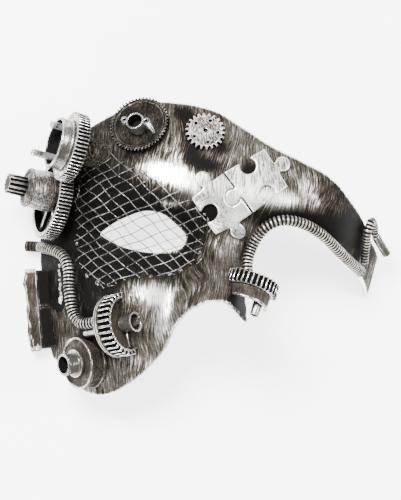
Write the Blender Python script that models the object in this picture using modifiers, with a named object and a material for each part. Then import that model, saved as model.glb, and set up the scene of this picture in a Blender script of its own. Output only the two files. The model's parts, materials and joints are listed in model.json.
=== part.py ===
"""A steampunk eye mask: a thin half-face shell with gears, hoses, cups and a wire net fixed on it.

The mask lies face up. Sizes are in millimetres, measured from the bridge of the nose: X to the
wearer's left, Y to the forehead and Z forward, out of the face. The last step sets the rear rim
on the floor plane and centres the whole on the origin.
"""
import math

import bmesh
import bpy
import numpy as np
from mathutils import Matrix, Vector

MM = 0.001
GAP = 0.35

# The head that the shell follows
HEAD_HALF_WIDTH = 78.0
HEAD_DEPTH = 76.0
HEAD_SQUARENESS = 2.7
WIDEST_LEVEL = 5.0
# How much less the half width is, a narrowing span below or above the widest level
NARROWING_SPAN = 50.0
JAW_NARROWING = 7.5
CROWN_NARROWING = 4.5
SIDE_REACH = 0.985
# The head on which the places of the pieces were measured
MEASURED_HALF_WIDTH = 78.0
MEASURED_DEPTH = 76.0
# Level from the bridge, forward of the bridge, on the midline without the nose
MIDLINE = (
    (-90.0, -26.0),
    (-70.0, -16.0),
    (-50.0, -9.0),
    (-35.0, -7.0),
    (-20.0, -6.0),
    (-8.0, -3.0),
    (0.0, 0.0),
    (10.0, 5.0),
    (22.0, 7.5),
    (35.0, 7.0),
    (48.0, 3.0),
    (60.0, -4.0),
    (75.0, -16.0),
)
# Level below the bridge, height of the ridge, half width of the ridge
NOSE = (
    (-12.0, 0.0, 9.0),
    (-4.0, 0.5, 8.3),
    (0.0, 1.5, 8.0),
    (6.0, 5.5, 8.2),
    (14.0, 12.0, 9.0),
    (24.0, 21.0, 11.0),
    (31.0, 25.0, 12.6),
    (36.0, 23.0, 13.2),
    (44.0, 5.0, 13.5),
)
# Height, distance from the midline and its spread, level and its spread
BROW = (3.0, 28.0, 26.0, 13.0, 9.0)
SOCKET = (-9.5, 33.0, 17.0, -4.0, 13.0)
CHEEKBONE = (5.0, 42.0, 18.0, -34.0, 17.0)
NOSE_SIDE = (-3.0, 17.0, 8.0, -28.0, 20.0)
TEMPLE = (-6.5, 63.0, 10.0, 7.0, 18.0)

# The shell
WALL = 1.8
FLOOR_DEPTH = 52.0
GRID_STEP = 7.3
LOWEST_LEVEL = -77.0
HIGHEST_LEVEL = 58.0
# X, Y and whether the outline turns sharply there
OUTLINE = (
    (-92.0, 2.0, True),
    (-74.0, 25.0, False),
    (-66.0, 36.5, False),
    (-55.2, 45.2, False),
    (-42.5, 52.0, False),
    (-25.8, 53.8, False),
    (-11.0, 52.0, False),
    (0.0, 46.8, False),
    (13.5, 39.9, False),
    (27.0, 35.6, False),
    (41.4, 31.1, False),
    (52.3, 23.8, False),
    (61.9, 17.5, False),
    (69.0, 11.2, False),
    (92.0, 2.0, True),
    (92.0, -24.0, True),
    (74.5, -12.5, False),
    (64.8, -4.5, False),
    (55.4, -2.4, False),
    (41.5, 5.0, False),
    (26.5, 8.2, False),
    (13.4, 3.5, False),
    (11.2, -4.0, False),
    (10.6, -13.0, False),
    (13.3, -34.8, True),
    (6.0, -31.8, False),
    (-3.4, -30.2, False),
    (-8.5, -31.5, False),
    (-13.2, -35.3, False),
    (-18.4, -49.7, False),
    (-23.3, -57.7, False),
    (-30.0, -65.4, False),
    (-40.8, -71.3, False),
    (-50.0, -68.5, False),
    (-60.5, -57.0, False),
    (-92.0, -34.0, True),
)
EYE_HOLE = (
    (-52.0, -4.2, True),
    (-42.4, 2.6, False),
    (-32.0, 6.0, False),
    (-22.5, 2.8, False),
    (-16.2, -4.6, False),
    (-24.5, -8.6, False),
    (-36.0, -9.0, False),
    (-46.0, -6.8, False),
)
STRAP_HOLE_AT = (-63.2, -32.2)
STRAP_HOLE_RADIUS = 1.9

# The net over the eye
NET_PITCH = 4.95
NET_FALL = -36.0
NET_CLIMB = 27.0
NET_BAR = 1.0
NET_DEPTH = 0.8
NET_LIFT = 0.75
# Distance of the lattice's middle from the midline, and its level
NET_MIDDLE = (35.0, -1.0)
NET_CELLS = 14
NET_OUTLINE = (
    (-50.0, 23.5),
    (-58.0, 18.0),
    (-62.5, 8.0),
    (-60.5, -6.0),
    (-57.5, -18.5),
    (-50.0, -26.0),
    (-42.0, -26.5),
    (-27.0, -21.0),
    (-12.5, -14.0),
    (-10.5, -7.0),
    (-14.0, 4.0),
    (-22.0, 11.5),
    (-29.5, 18.5),
    (-44.0, 24.5),
)

# Sides of the rounds
BORE_SIDES = 30
CUP_SIDES = 28
TUBE_SIDES = 20
PIN_SIDES = 12
THIN_PIN_SIDES = 10
SMALL_HOLE_SIDES = 6

# The gears
BED_LIFT = 0.42
TEMPLE_AXIS = (-0.97, 0.09, 0.23)
TEMPLE_GEAR_AT = (-65.5, 29.1, -10.2)
TEMPLE_GEAR = {"teeth": 46, "tip": 14.7, "root": 13.4, "thick": 5.4}
TEMPLE_POST_RADIUS = 6.0
TEMPLE_POST_REACH = 18.0
CUP_RADIUS = 10.9
CUP_WALL = 1.1
CUP_DEPTH = 5.1
CUP_FLOOR = 1.0
PIN_RADIUS = 1.65
PIN_WALL = 0.5
LONG_PIN_OFFSET = (-4.6, -5.6)
LONG_PIN_OUT = 7.0
SHORT_PIN_OFFSET = (0.0, 7.0)
SHORT_PIN_OUT = 2.9

WHEEL_AXIS = (-0.965, 0.03, 0.26)
WHEEL_AT = (-68.7, 9.0, -32.9)
WHEEL = {"teeth": 50, "tip": 16.8, "root": 15.5, "thick": 5.8}
WHEEL_BORE = 14.0
WHEEL_HUB_RADIUS = 5.0
WHEEL_POST_RADIUS = 4.5
WHEEL_POST_REACH = 18.0
WHEEL_WEB = 2.2
SPOKE_WIDTH = 1.8
SPOKES = 5
FIRST_SPOKE = -33.0
BARREL_OFFSET = (1.5, 3.0)
WHEEL_SINK = 1.8
BARREL_RADIUS = 8.5
BARREL_LENGTH = 11.6
BARREL_LIP = 0.6
PINION = {"teeth": 12, "tip": 4.4, "root": 3.3, "thick": 8.4}

FOREHEAD_SEAT = (-41.0, 40.7)
FOREHEAD_GEAR = {"teeth": 40, "tip": 12.7, "root": 11.7, "thick": 2.6}
FOREHEAD_POST_RADIUS = 6.3
FOREHEAD_POST_REACH = 6.0
HUB_OFFSET = (0.6, -2.0)
HUB_RADIUS = 3.75
HUB_WALL = 0.75
HUB_HEIGHT = 5.8
EYELET_RADIUS = 1.45
EYELET_HEIGHT = 2.4
EYELET_OVERLAP = 0.3625
EYELET_ASIDE = 0.4

SMALL_SEAT = (-15.0, 41.0)
SMALL_GEAR = {"teeth": 22, "tip": 8.3, "root": 6.9, "thick": 1.6}
SMALL_BORE = 0.95
SMALL_HOLES = 5
SMALL_HOLE_RADIUS = 0.8
SMALL_HOLE_CIRCLE = 5.2

CHEEK_AXIS = (0.69, 0.2, 0.70)
CHEEK_GEAR_AT = (-35.6, -41.0, -8.7)
CHEEK_GEAR = {"teeth": 34, "tip": 13.2, "root": 11.7, "thick": 5.8}
CHEEK_BORE = 10.8
COLLAR_RADIUS = 13.3
COLLAR_THICK = 1.6
DISH_DEPTH = 2.4
DISH_THICK = 1.4
NECK_RADIUS = 3.4
MOUTH_RADIUS = 4.2
MOUTH_OUT = 4.4
MOUTH_WALL = 0.8
MOUTH_FLARE = 3.0

BOSS_AXIS = (-0.84, -0.25, 0.47)
BOSS_AT = (-52.9, -58.8, -26.5)
BOSS_RADIUS = 11.0
BOSS_LIP = 1.4
DRUM_RADIUS = 10.0
DRUM_DEPTH = 12.0
NOZZLE_RADIUS = 4.7
NOZZLE_WALL = 0.95
NOZZLE_LENGTH = 6.6
NOZZLE_STEP = 1.2

NOSE_AXIS = (-0.22, -0.96, 0.17)
NOSE_GEAR_AT = (12.6, -17.2, 5.6)
NOSE_GEAR = {"teeth": 33, "tip": 11.5, "root": 10.1, "thick": 5.6}
NOSE_CUT = -1.0
NOSE_CUP_RADIUS = 9.2
NOSE_CUP_WALL = 1.1
NOSE_CUP_LENGTH = 5.3
NOSE_PIN_OFFSET = (4.6, 3.0)
NOSE_PIN_TOP = 2.3
NOSE_PIN_END = 1.8
NOSE_PIN_OUT = 4.2

# The jigsaw plates: corners in plan, and for each side whether its knob stands out (1) or in (-1)
PLATE_LIFT = 0.5
PLATE_THICK = 1.1
PLATE_GAP = 0.7
KNOB_RADIUS = 3.1
KNOB_REACH = 3.3
KNOB_NECK = 2.2
KNOB_CLEARANCE = 0.35
PLATES = {
    "jigsaw_plate_1": (((-17.4, 12.9), (-6.0, 24.4), (8.3, 10.3), (-4.4, -0.1)), (1, -1, 1, -1)),
    "jigsaw_plate_2": (((-5.5, 24.9), (10.3, 37.2), (21.6, 22.8), (8.8, 10.8)), (-1, 1, -1, 1)),
}

# The block on the side wall
BLOCK_TOP = (-68.3, -18.9)
BLOCK_BOTTOM = (-61.2, -51.6)
BLOCK_FRONT = -44.5
BLOCK_BACK = -51.2
BLOCK_THICK = 5.8
BLOCK_INNER = 3.5
BLOCK_SPLIT = 0.47
COVER_THICK = 4.2
COVER_PROUD = 0.8
COVER_EXTRA = 0.8

# The hoses: plan position and height of the centre line over the skin
HOSE_RADIUS = 2.35
THIN_HOSE_RADIUS = 1.75
HOSE_SEAT = HOSE_RADIUS + 0.5
THIN_SEAT = THIN_HOSE_RADIUS + 0.5
SLEEVE_RADIUS = 1.95


def bell(value, spread):
    """A bump that is one at zero and dies away over its spread."""
    return np.exp(-((value / spread) ** 2))


def column(table, index):
    return np.array([row[index] for row in table])


def eased(table, index, value):
    """A smooth curve through one column of a table whose first column rises."""
    stops = column(table, 0)
    heights = column(table, index)
    slopes = np.gradient(heights, stops)
    value = np.clip(value, stops[0], stops[-1])
    low = np.clip(np.searchsorted(stops, value) - 1, 0, len(stops) - 2)
    span = stops[low + 1] - stops[low]
    t = (value - stops[low]) / span
    rise = heights[low] * (1 + 2 * t) * (1 - t) ** 2 + heights[low + 1] * t * t * (3 - 2 * t)
    bend = span * t * (1 - t) * (slopes[low] * (1 - t) - slopes[low + 1] * t)
    return rise + bend


def half_width(y):
    """Half the head's width at a level."""
    off = y - WIDEST_LEVEL
    narrowing = np.where(off < 0, JAW_NARROWING, CROWN_NARROWING) / NARROWING_SPAN**2
    return HEAD_HALF_WIDTH - narrowing * off**2


def side_fall(share):
    """How far the skin has gone back at a share of the half width."""
    return HEAD_DEPTH * (1 - np.sqrt(1 - np.minimum(share, 0.9995) ** HEAD_SQUARENESS))


def wide(x, y):
    """A plan X measured on the real head, carried along when the head's width changes."""
    half = float(half_width(y))
    return x * (half / (half + (MEASURED_HALF_WIDTH - HEAD_HALF_WIDTH)))


def placed(x, y, z):
    """A point measured on the real head, carried along when its width or depth changes."""
    x = wide(x, y)
    fall = float(side_fall(abs(x) / half_width(y))) / HEAD_DEPTH
    return Vector((x, y, z - (HEAD_DEPTH - MEASURED_DEPTH) * fall))


def bump(form, x, y):
    height, aside, aside_spread, level, level_spread = form
    return height * bell(np.abs(x) - aside, aside_spread) * bell(y - level, level_spread)


def smooth_face(x, y):
    """The face without its eye sockets."""
    x = np.asarray(x, float)
    y = np.asarray(y, float)
    z = eased(MIDLINE, 1, y) - side_fall(np.abs(x) / half_width(y))
    z = z + bump(BROW, x, y) + bump(CHEEKBONE, x, y) + bump(NOSE_SIDE, x, y) + bump(TEMPLE, x, y)
    return z + eased(NOSE, 1, -y) * bell(x, eased(NOSE, 2, -y))


def face(x, y):
    """Height of the shell's outer skin over the bridge."""
    return smooth_face(x, y) + bump(SOCKET, np.asarray(x, float), np.asarray(y, float))


def skin_normal(x, y, step=0.4):
    slope_x = (face(x + step, y) - face(x - step, y)) / (2 * step)
    slope_y = (face(x, y + step) - face(x, y - step)) / (2 * step)
    return Vector((-float(slope_x), -float(slope_y), 1.0)).normalized()


def normal_at(where):
    """The skin's direction at a measured plan position."""
    return skin_normal(wide(*where), where[1])


def on_skin(x, y, lift=0.0):
    """The point over a measured plan position that stands a distance off the skin."""
    x = wide(x, y)
    return Vector((x, y, float(face(x, y)))) + skin_normal(x, y) * lift


TEMPLE_SEAT = placed(*TEMPLE_GEAR_AT)
WHEEL_SEAT = placed(*WHEEL_AT)
CHEEK_SEAT = placed(*CHEEK_GEAR_AT)
BOSS_SEAT = placed(*BOSS_AT)
NOSE_SEAT = placed(*NOSE_GEAR_AT)
# Shares of the half width against the length run over the skin from the midline
SHARES = np.linspace(0.0, SIDE_REACH, 500)
RUN = np.concatenate(
    ([0.0], np.cumsum(np.hypot(np.diff(SHARES) * HEAD_HALF_WIDTH, np.diff(side_fall(SHARES)))))
)


def plan_x(run, y):
    """Plan X of a point a given run from the midline."""
    share = np.interp(abs(run), RUN, SHARES)
    return math.copysign(1.0, run) * float(share * half_width(y))


def collection(name):
    made = bpy.data.collections.new(name)
    bpy.context.scene.collection.children.link(made)
    return made


for old in list(bpy.data.objects):
    bpy.data.objects.remove(old, do_unlink=True)
PARTS = collection("steampunk_eye_mask")
CUTTERS = collection("cutters")
ROOT = bpy.data.objects.new("mask_root", None)
PARTS.objects.link(ROOT)


def material(name, colour, roughness, metallic):
    made = bpy.data.materials.new(name)
    made.use_nodes = True
    shader = made.node_tree.nodes["Principled BSDF"]
    shader.inputs["Base Color"].default_value = (*colour, 1.0)
    shader.inputs["Roughness"].default_value = roughness
    shader.inputs["Metallic"].default_value = metallic
    return made


SHELL_SILVER = material("shell_silver", (0.42, 0.40, 0.37), 0.42, 0.85)
BRIGHT_SILVER = material("bright_silver", (0.62, 0.60, 0.57), 0.35, 0.9)
DARK_SILVER = material("dark_silver", (0.22, 0.20, 0.18), 0.5, 0.8)
WIRE = material("wire", (0.70, 0.69, 0.67), 0.3, 0.95)
BLACK = material("black", (0.03, 0.03, 0.032), 0.8, 0.0)


def add(name, data, look=None):
    """An object in the model, or a cutter when it has no look."""
    made = bpy.data.objects.new(name, data)
    (PARTS if look else CUTTERS).objects.link(made)
    made.parent = ROOT
    if look:
        data.materials.append(look)
    else:
        made.hide_render = True
        made.display_type = "WIRE"
    return made


def mesh_of(name, bm):
    data = bpy.data.meshes.new(name)
    bmesh.ops.recalc_face_normals(bm, faces=bm.faces[:])
    bm.to_mesh(data)
    bm.free()
    return data


def crisp(made):
    """Round sides smooth, edges sharp."""
    made.data.shade_smooth()
    made.data.set_sharp_from_angle(angle=math.radians(35))
    return made


def seat(made, origin, axis, up=(0, 1, 0)):
    """Stands an object at a point with its own Z along the axis and its Y towards up."""
    z = Vector(axis).normalized()
    y = Vector(up)
    y = (y - z * y.dot(z)).normalized()
    turn = Matrix((y.cross(z), y, z)).transposed()
    made.matrix_local = Matrix.Translation(Vector(origin) * MM) @ turn.to_4x4()
    return made


def boolean(made, other, operation):
    step = made.modifiers.new(operation.lower(), "BOOLEAN")
    step.operation = operation
    step.solver = "EXACT"
    step.object = other
    return made


def turned(name, profile, look=None, segments=24, ring=False):
    """A turned piece from radius and height pairs, down its outer side; a ring's profile closes."""
    bm = bmesh.new()
    points = [bm.verts.new((r * MM, 0, z * MM)) for r, z in profile]
    for first, second in zip(points, points[1:]):
        bm.edges.new((first, second))
    if ring:
        bm.edges.new((points[-1], points[0]))
    data = bpy.data.meshes.new(name)
    bm.to_mesh(data)
    bm.free()
    made = add(name, data, look)
    screw = made.modifiers.new("turn", "SCREW")
    screw.steps = screw.render_steps = segments
    screw.use_merge_vertices = True
    screw.merge_threshold = 0.00001
    return made


def plate(name, outlines, low, high, look=None, resolution=5):
    """A flat outline, with any holes, as a closed mesh from one height to another."""
    flat = bpy.data.curves.new(name, "CURVE")
    flat.dimensions = "2D"
    flat.fill_mode = "BOTH"
    flat.extrude = (high - low) / 2 * MM
    flat.resolution_u = resolution
    for points in outlines:
        curved = len(points[0]) == 3
        line = flat.splines.new("BEZIER" if curved else "POLY")
        line.use_cyclic_u = True
        if curved:
            line.bezier_points.add(len(points) - 1)
            for knot, (x, y, sharp) in zip(line.bezier_points, points):
                knot.co = (x * MM, y * MM, 0)
                knot.handle_left_type = knot.handle_right_type = "VECTOR" if sharp else "AUTO"
        else:
            line.points.add(len(points) - 1)
            for knot, (x, y) in zip(line.points, points):
                knot.co = (x * MM, y * MM, 0, 1)
    shape = bpy.data.objects.new(name + "_curve", flat)
    PARTS.objects.link(shape)
    data = solid_of(shape)
    data.transform(Matrix.Translation((0, 0, (high + low) / 2 * MM)))
    return add(name, data, look)


def solid_of(shape):
    """The welded mesh of a curve object, which is then removed."""
    graph = bpy.context.evaluated_depsgraph_get()
    data = bpy.data.meshes.new_from_object(shape.evaluated_get(graph))
    bm = bmesh.new()
    bm.from_mesh(data)
    bmesh.ops.remove_doubles(bm, verts=bm.verts[:], dist=0.000001)
    bmesh.ops.recalc_face_normals(bm, faces=bm.faces[:])
    bm.to_mesh(data)
    bm.free()
    bpy.data.objects.remove(shape)
    return data


def tube(name, points, radius, look, sides=4):
    """A round tube along points already smoothed."""
    line = bpy.data.curves.new(name, "CURVE")
    line.dimensions = "3D"
    line.bevel_depth = radius * MM
    line.bevel_resolution = sides - 2
    line.use_fill_caps = True
    run = line.splines.new("POLY")
    run.points.add(len(points) - 1)
    for knot, point in zip(run.points, points):
        knot.co = (*(Vector(point) * MM), 1)
    shape = bpy.data.objects.new(name + "_curve", line)
    PARTS.objects.link(shape)
    return crisp(add(name, solid_of(shape), look))


def gear_points(teeth, tip, root, land=0.28, flank=0.16):
    """A gear's outline: each tooth has a flat land between sloping flanks."""
    points = []
    for tooth in range(teeth):
        for radius, turn in ((root, -flank), (tip, 0.0), (tip, land), (root, land + flank)):
            angle = (tooth + turn) / teeth * math.tau
            points.append((radius * math.cos(angle), radius * math.sin(angle)))
    return points


def fine_points(teeth, tip, root):
    """The outline of a gear whose teeth are too fine for flat lands."""
    count = 2 * teeth
    radii = [tip if i % 2 else root for i in range(count)]
    return polygon(count, radii)


def polygon(count, radii, centre=(0.0, 0.0)):
    """Points round a centre, at one radius or a list of them."""
    if not isinstance(radii, list):
        radii = [radii] * count
    return [
        (
            centre[0] + r * math.cos(i / count * math.tau),
            centre[1] + r * math.sin(i / count * math.tau),
        )
        for i, r in enumerate(radii)
    ]


def skin_grid(lift=0.0, reach=1.0):
    """The skin as an open grid of triangles, alike at every lift so that none cross."""
    columns = 2 * round(RUN[-1] / GRID_STEP)
    rows = round((HIGHEST_LEVEL - LOWEST_LEVEL) / GRID_STEP)
    bm = bmesh.new()
    bmesh.ops.create_grid(bm, x_segments=columns, y_segments=rows, size=1.0)
    for vert in bm.verts:
        y = LOWEST_LEVEL + (vert.co.y + 1) / 2 * (HIGHEST_LEVEL - LOWEST_LEVEL)
        x = plan_x(vert.co.x * RUN[-1] * reach, y)
        rise = lift / skin_normal(x, y).z if lift else 0.0
        vert.co = Vector((x, y, float(face(x, y)) + rise)) * MM
    bmesh.ops.triangulate(bm, faces=bm.faces[:], quad_method="FIXED")
    return bm


def make_bed():
    """Everything under the skin and its clearance, which trims the backs of the fixed pieces."""
    bm = skin_grid(lift=BED_LIFT)
    made = bmesh.ops.extrude_face_region(bm, geom=bm.faces[:])
    for part in made["geom"]:
        if isinstance(part, bmesh.types.BMVert):
            part.co.z = -2 * HEAD_DEPTH * MM
    return add("bed", mesh_of("bed", bm))


def make_shell():
    bm = skin_grid()
    shell = add("shell", mesh_of("shell", bm), SHELL_SILVER)
    if sum(poly.normal.z for poly in shell.data.polygons) < 0:
        shell.data.flip_normals()
    wall = shell.modifiers.new("wall", "SOLIDIFY")
    wall.thickness = WALL * MM
    wall.offset = -1.0
    wall.use_even_offset = True
    top = HEAD_DEPTH
    outline, eye_hole = (
        [(wide(x, y), y, sharp) for x, y, sharp in knots] for knots in (OUTLINE, EYE_HOLE)
    )
    boolean(shell, plate("outline", [outline], -FLOOR_DEPTH, top, resolution=3), "INTERSECT")
    boolean(shell, plate("eye_hole", [eye_hole], -HEAD_DEPTH, top), "DIFFERENCE")
    reach = 3 * WALL
    profile = disc_profile(STRAP_HOLE_RADIUS, -reach, reach)
    hole = turned("strap_hole", profile, segments=PIN_SIDES)
    seat(hole, on_skin(*STRAP_HOLE_AT), normal_at(STRAP_HOLE_AT))
    boolean(shell, hole, "DIFFERENCE")
    return shell


def inside(point, outline):
    """Whether a plan point lies within an outline."""
    x, y = point
    hits = False
    for (ax, ay), (bx, by) in zip(outline, outline[1:] + outline[:1]):
        if (ay > y) != (by > y) and x < (bx - ax) * (y - ay) / (by - ay) + ax:
            hits = not hits
    return hits


def net_cells():
    """The lattice cells whose middles lie in the net's outline, without corner-only contacts."""
    fall = Vector((math.cos(math.radians(NET_FALL)), math.sin(math.radians(NET_FALL))))
    climb = Vector((math.cos(math.radians(NET_CLIMB)), math.sin(math.radians(NET_CLIMB))))
    side = NET_PITCH / math.sin(math.radians(NET_CLIMB - NET_FALL))
    fall, climb = fall * side, climb * side
    middle_run = float(np.interp(NET_MIDDLE[0] / MEASURED_HALF_WIDTH, SHARES, RUN))
    start = Vector((-middle_run, NET_MIDDLE[1]))
    outline = [(wide(x, y), y) for x, y in NET_OUTLINE]

    def plan(i, j):
        run = start + fall * i + climb * j
        return plan_x(run.x, run.y), run.y

    span = range(-NET_CELLS, NET_CELLS + 1)
    cells = {(i, j) for i in span for j in span if inside(plan(i + 0.5, j + 0.5), outline)}
    for i in span:
        for j in span:
            here, right = (i, j) in cells, (i + 1, j) in cells
            over, across = (i, j + 1) in cells, (i + 1, j + 1) in cells
            if here and across and not right and not over:
                cells.add((i + 1, j))
            if right and over and not here and not across:
                cells.add((i, j))
    return cells, plan


def make_net():
    cells, plan = net_cells()
    bm = bmesh.new()
    verts = {}
    for i, j in sorted(cells):
        ring = []
        for corner in ((i, j), (i + 1, j), (i + 1, j + 1), (i, j + 1)):
            if corner not in verts:
                verts[corner] = bm.verts.new((*plan(*corner), 0.0))
            ring.append(verts[corner])
        bm.faces.new(ring)
    bm.normal_update()
    bars = bmesh.ops.inset_individual(bm, faces=bm.faces[:], thickness=NET_BAR / 2)
    rims = set(bars["faces"])
    bmesh.ops.delete(bm, geom=[f for f in bm.faces if f not in rims], context="FACES")
    for vert in bm.verts:
        x, y = vert.co.x, vert.co.y
        vert.co = Vector((x, y, float(smooth_face(x, y)) + NET_LIFT / skin_normal(x, y).z)) * MM
    net = add("eye_net", mesh_of("eye_net", bm), WIRE)
    if sum(poly.normal.z for poly in net.data.polygons) < 0:
        net.data.flip_normals()
    depth = net.modifiers.new("depth", "SOLIDIFY")
    depth.thickness = NET_DEPTH * MM
    depth.offset = 1.0
    return net


def bedded(made):
    return boolean(made, BED, "DIFFERENCE")


def gear_seat(origin, axis, along=0.0, aside=(0.0, 0.0), up=(0, 1, 0)):
    """A point given along and across an axis from a seat."""
    z = Vector(axis).normalized()
    y = Vector(up)
    y = (y - z * y.dot(z)).normalized()
    return Vector(origin) + z * along + y.cross(z) * aside[0] + y * aside[1]


def tube_profile(outer, wall, low, high):
    inner = outer - wall
    return [(outer, high), (outer, low), (inner, low), (inner, high)]


def cup_profile(outer, inner, low, high):
    floor = low + CUP_FLOOR
    return [(0, floor), (inner, floor), (inner, high), (outer, high), (outer, low), (0, low)]


def disc_profile(radius, low, high):
    return [(0, high), (radius, high), (radius, low), (0, low)]


def make_temple():
    """The thick gear on the temple, with a lipped cup and two tube pins on it."""
    size = TEMPLE_GEAR
    outline = fine_points(size["teeth"], size["tip"], size["root"])
    gear = plate("temple_gear", [outline], 0, size["thick"], BRIGHT_SILVER)
    seat(gear, TEMPLE_SEAT, TEMPLE_AXIS)
    profile = disc_profile(TEMPLE_POST_RADIUS, -TEMPLE_POST_REACH, size["thick"] / 2)
    post = turned("temple_post", profile)
    seat(post, TEMPLE_SEAT, TEMPLE_AXIS)
    boolean(gear, post, "UNION")
    bedded(gear)
    floor = size["thick"] + GAP
    lip = floor + CUP_DEPTH
    inner = CUP_RADIUS - CUP_WALL
    cup = turned("temple_cup", cup_profile(CUP_RADIUS, inner, floor, lip), DARK_SILVER)
    seat(cup, TEMPLE_SEAT, TEMPLE_AXIS)
    for name, aside, out in (
        ("temple_pin_long", LONG_PIN_OFFSET, LONG_PIN_OUT),
        ("temple_pin_short", SHORT_PIN_OFFSET, SHORT_PIN_OUT),
    ):
        profile = tube_profile(PIN_RADIUS, PIN_WALL, floor + CUP_FLOOR + GAP, lip + out)
        pin = turned(name, profile, BRIGHT_SILVER, segments=THIN_PIN_SIDES, ring=True)
        seat(pin, gear_seat(TEMPLE_SEAT, TEMPLE_AXIS, aside=aside), TEMPLE_AXIS)


def make_wheel():
    """The spoked wheel, with a barrel and a pinion on its face."""
    size = WHEEL
    rim = fine_points(size["teeth"], size["tip"], size["root"])
    bore = polygon(BORE_SIDES, WHEEL_BORE)
    wheel = plate("wheel", [rim, bore], 0, size["thick"], BRIGHT_SILVER)
    seat(wheel, WHEEL_SEAT, WHEEL_AXIS)
    star = []
    half = SPOKE_WIDTH / 2
    reach = (WHEEL_BORE + size["root"]) / 2
    for spoke in range(SPOKES):
        angle = math.radians(FIRST_SPOKE + spoke * 360 / SPOKES)
        out = Vector((math.sin(angle), -math.cos(angle)))
        across = Vector((-out.y, out.x))
        valley = math.radians(FIRST_SPOKE + (spoke - 0.5) * 360 / SPOKES)
        star.append((WHEEL_HUB_RADIUS * math.sin(valley), -WHEEL_HUB_RADIUS * math.cos(valley)))
        for where in (out * WHEEL_HUB_RADIUS - across * half, out * reach - across * half,
                      out * reach + across * half, out * WHEEL_HUB_RADIUS + across * half):
            star.append((where.x, where.y))
    top = size["thick"] - WHEEL_SINK
    web = plate("wheel_web", [star], top - WHEEL_WEB, top)
    seat(web, WHEEL_SEAT, WHEEL_AXIS)
    boolean(wheel, web, "UNION")
    profile = disc_profile(WHEEL_POST_RADIUS, -WHEEL_POST_REACH, top - WHEEL_WEB / 2)
    post = turned("wheel_post", profile)
    seat(post, WHEEL_SEAT, WHEEL_AXIS)
    boolean(wheel, post, "UNION")
    profile = disc_profile(TEMPLE_GEAR["tip"] + GAP, -GAP, TEMPLE_GEAR["thick"] + GAP)
    room = turned("temple_room", profile)
    seat(room, TEMPLE_SEAT, TEMPLE_AXIS)
    boolean(wheel, room, "DIFFERENCE")
    bedded(wheel)
    low = top + GAP
    high = low + BARREL_LENGTH
    at = gear_seat(WHEEL_SEAT, WHEEL_AXIS, aside=BARREL_OFFSET)
    profile = [
        (0, high),
        (BARREL_RADIUS - BARREL_LIP, high),
        (BARREL_RADIUS, high - BARREL_LIP),
        (BARREL_RADIUS, low),
        (0, low),
    ]
    barrel = turned("barrel", profile, BRIGHT_SILVER)
    seat(barrel, at, WHEEL_AXIS)
    crisp(barrel)
    low = high + GAP
    teeth = gear_points(PINION["teeth"], PINION["tip"], PINION["root"])
    pinion = plate("pinion", [teeth], low, low + PINION["thick"], BRIGHT_SILVER)
    seat(pinion, at, WHEEL_AXIS)


def make_forehead():
    """The fine gear on the forehead, with a leaning tube and its two eyelets."""
    size = FOREHEAD_GEAR
    normal = normal_at(FOREHEAD_SEAT)
    at = on_skin(*FOREHEAD_SEAT, lift=2 * GAP)
    outline = fine_points(size["teeth"], size["tip"], size["root"])
    gear = plate("forehead_gear", [outline], 0, size["thick"], DARK_SILVER)
    seat(gear, at, normal)
    profile = disc_profile(FOREHEAD_POST_RADIUS, -FOREHEAD_POST_REACH, size["thick"] / 2)
    post = turned("forehead_post", profile)
    seat(post, at, normal)
    boolean(gear, post, "UNION")
    bedded(gear)
    low = size["thick"] + GAP
    high = low + HUB_HEIGHT
    centre = gear_seat(at, normal, aside=HUB_OFFSET)
    profile = tube_profile(HUB_RADIUS, HUB_WALL, low, high)
    hub = turned("forehead_hub", profile, DARK_SILVER, segments=TUBE_SIDES, ring=True)
    seat(hub, centre, normal)
    reach = HUB_RADIUS + EYELET_RADIUS - EYELET_OVERLAP
    for side, base in ((-1, high - EYELET_HEIGHT), (1, low)):
        profile = tube_profile(EYELET_RADIUS, HUB_WALL, base, high - GAP)
        eyelet = turned("eyelet_%d" % (side + 2), profile, segments=THIN_PIN_SIDES, ring=True)
        seat(eyelet, gear_seat(centre, normal, aside=(side * reach, EYELET_ASIDE)), normal)
        boolean(hub, eyelet, "UNION")


def make_small_gear():
    size = SMALL_GEAR
    outlines = [gear_points(size["teeth"], size["tip"], size["root"])]
    outlines.append(polygon(THIN_PIN_SIDES, SMALL_BORE))
    for middle in polygon(SMALL_HOLES, SMALL_HOLE_CIRCLE):
        outlines.append(polygon(SMALL_HOLE_SIDES, SMALL_HOLE_RADIUS, middle))
    gear = plate("small_gear", outlines, 0, size["thick"], BRIGHT_SILVER)
    seat(gear, on_skin(*SMALL_SEAT, lift=GAP), normal_at(SMALL_SEAT))
    bedded(gear)


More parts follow.
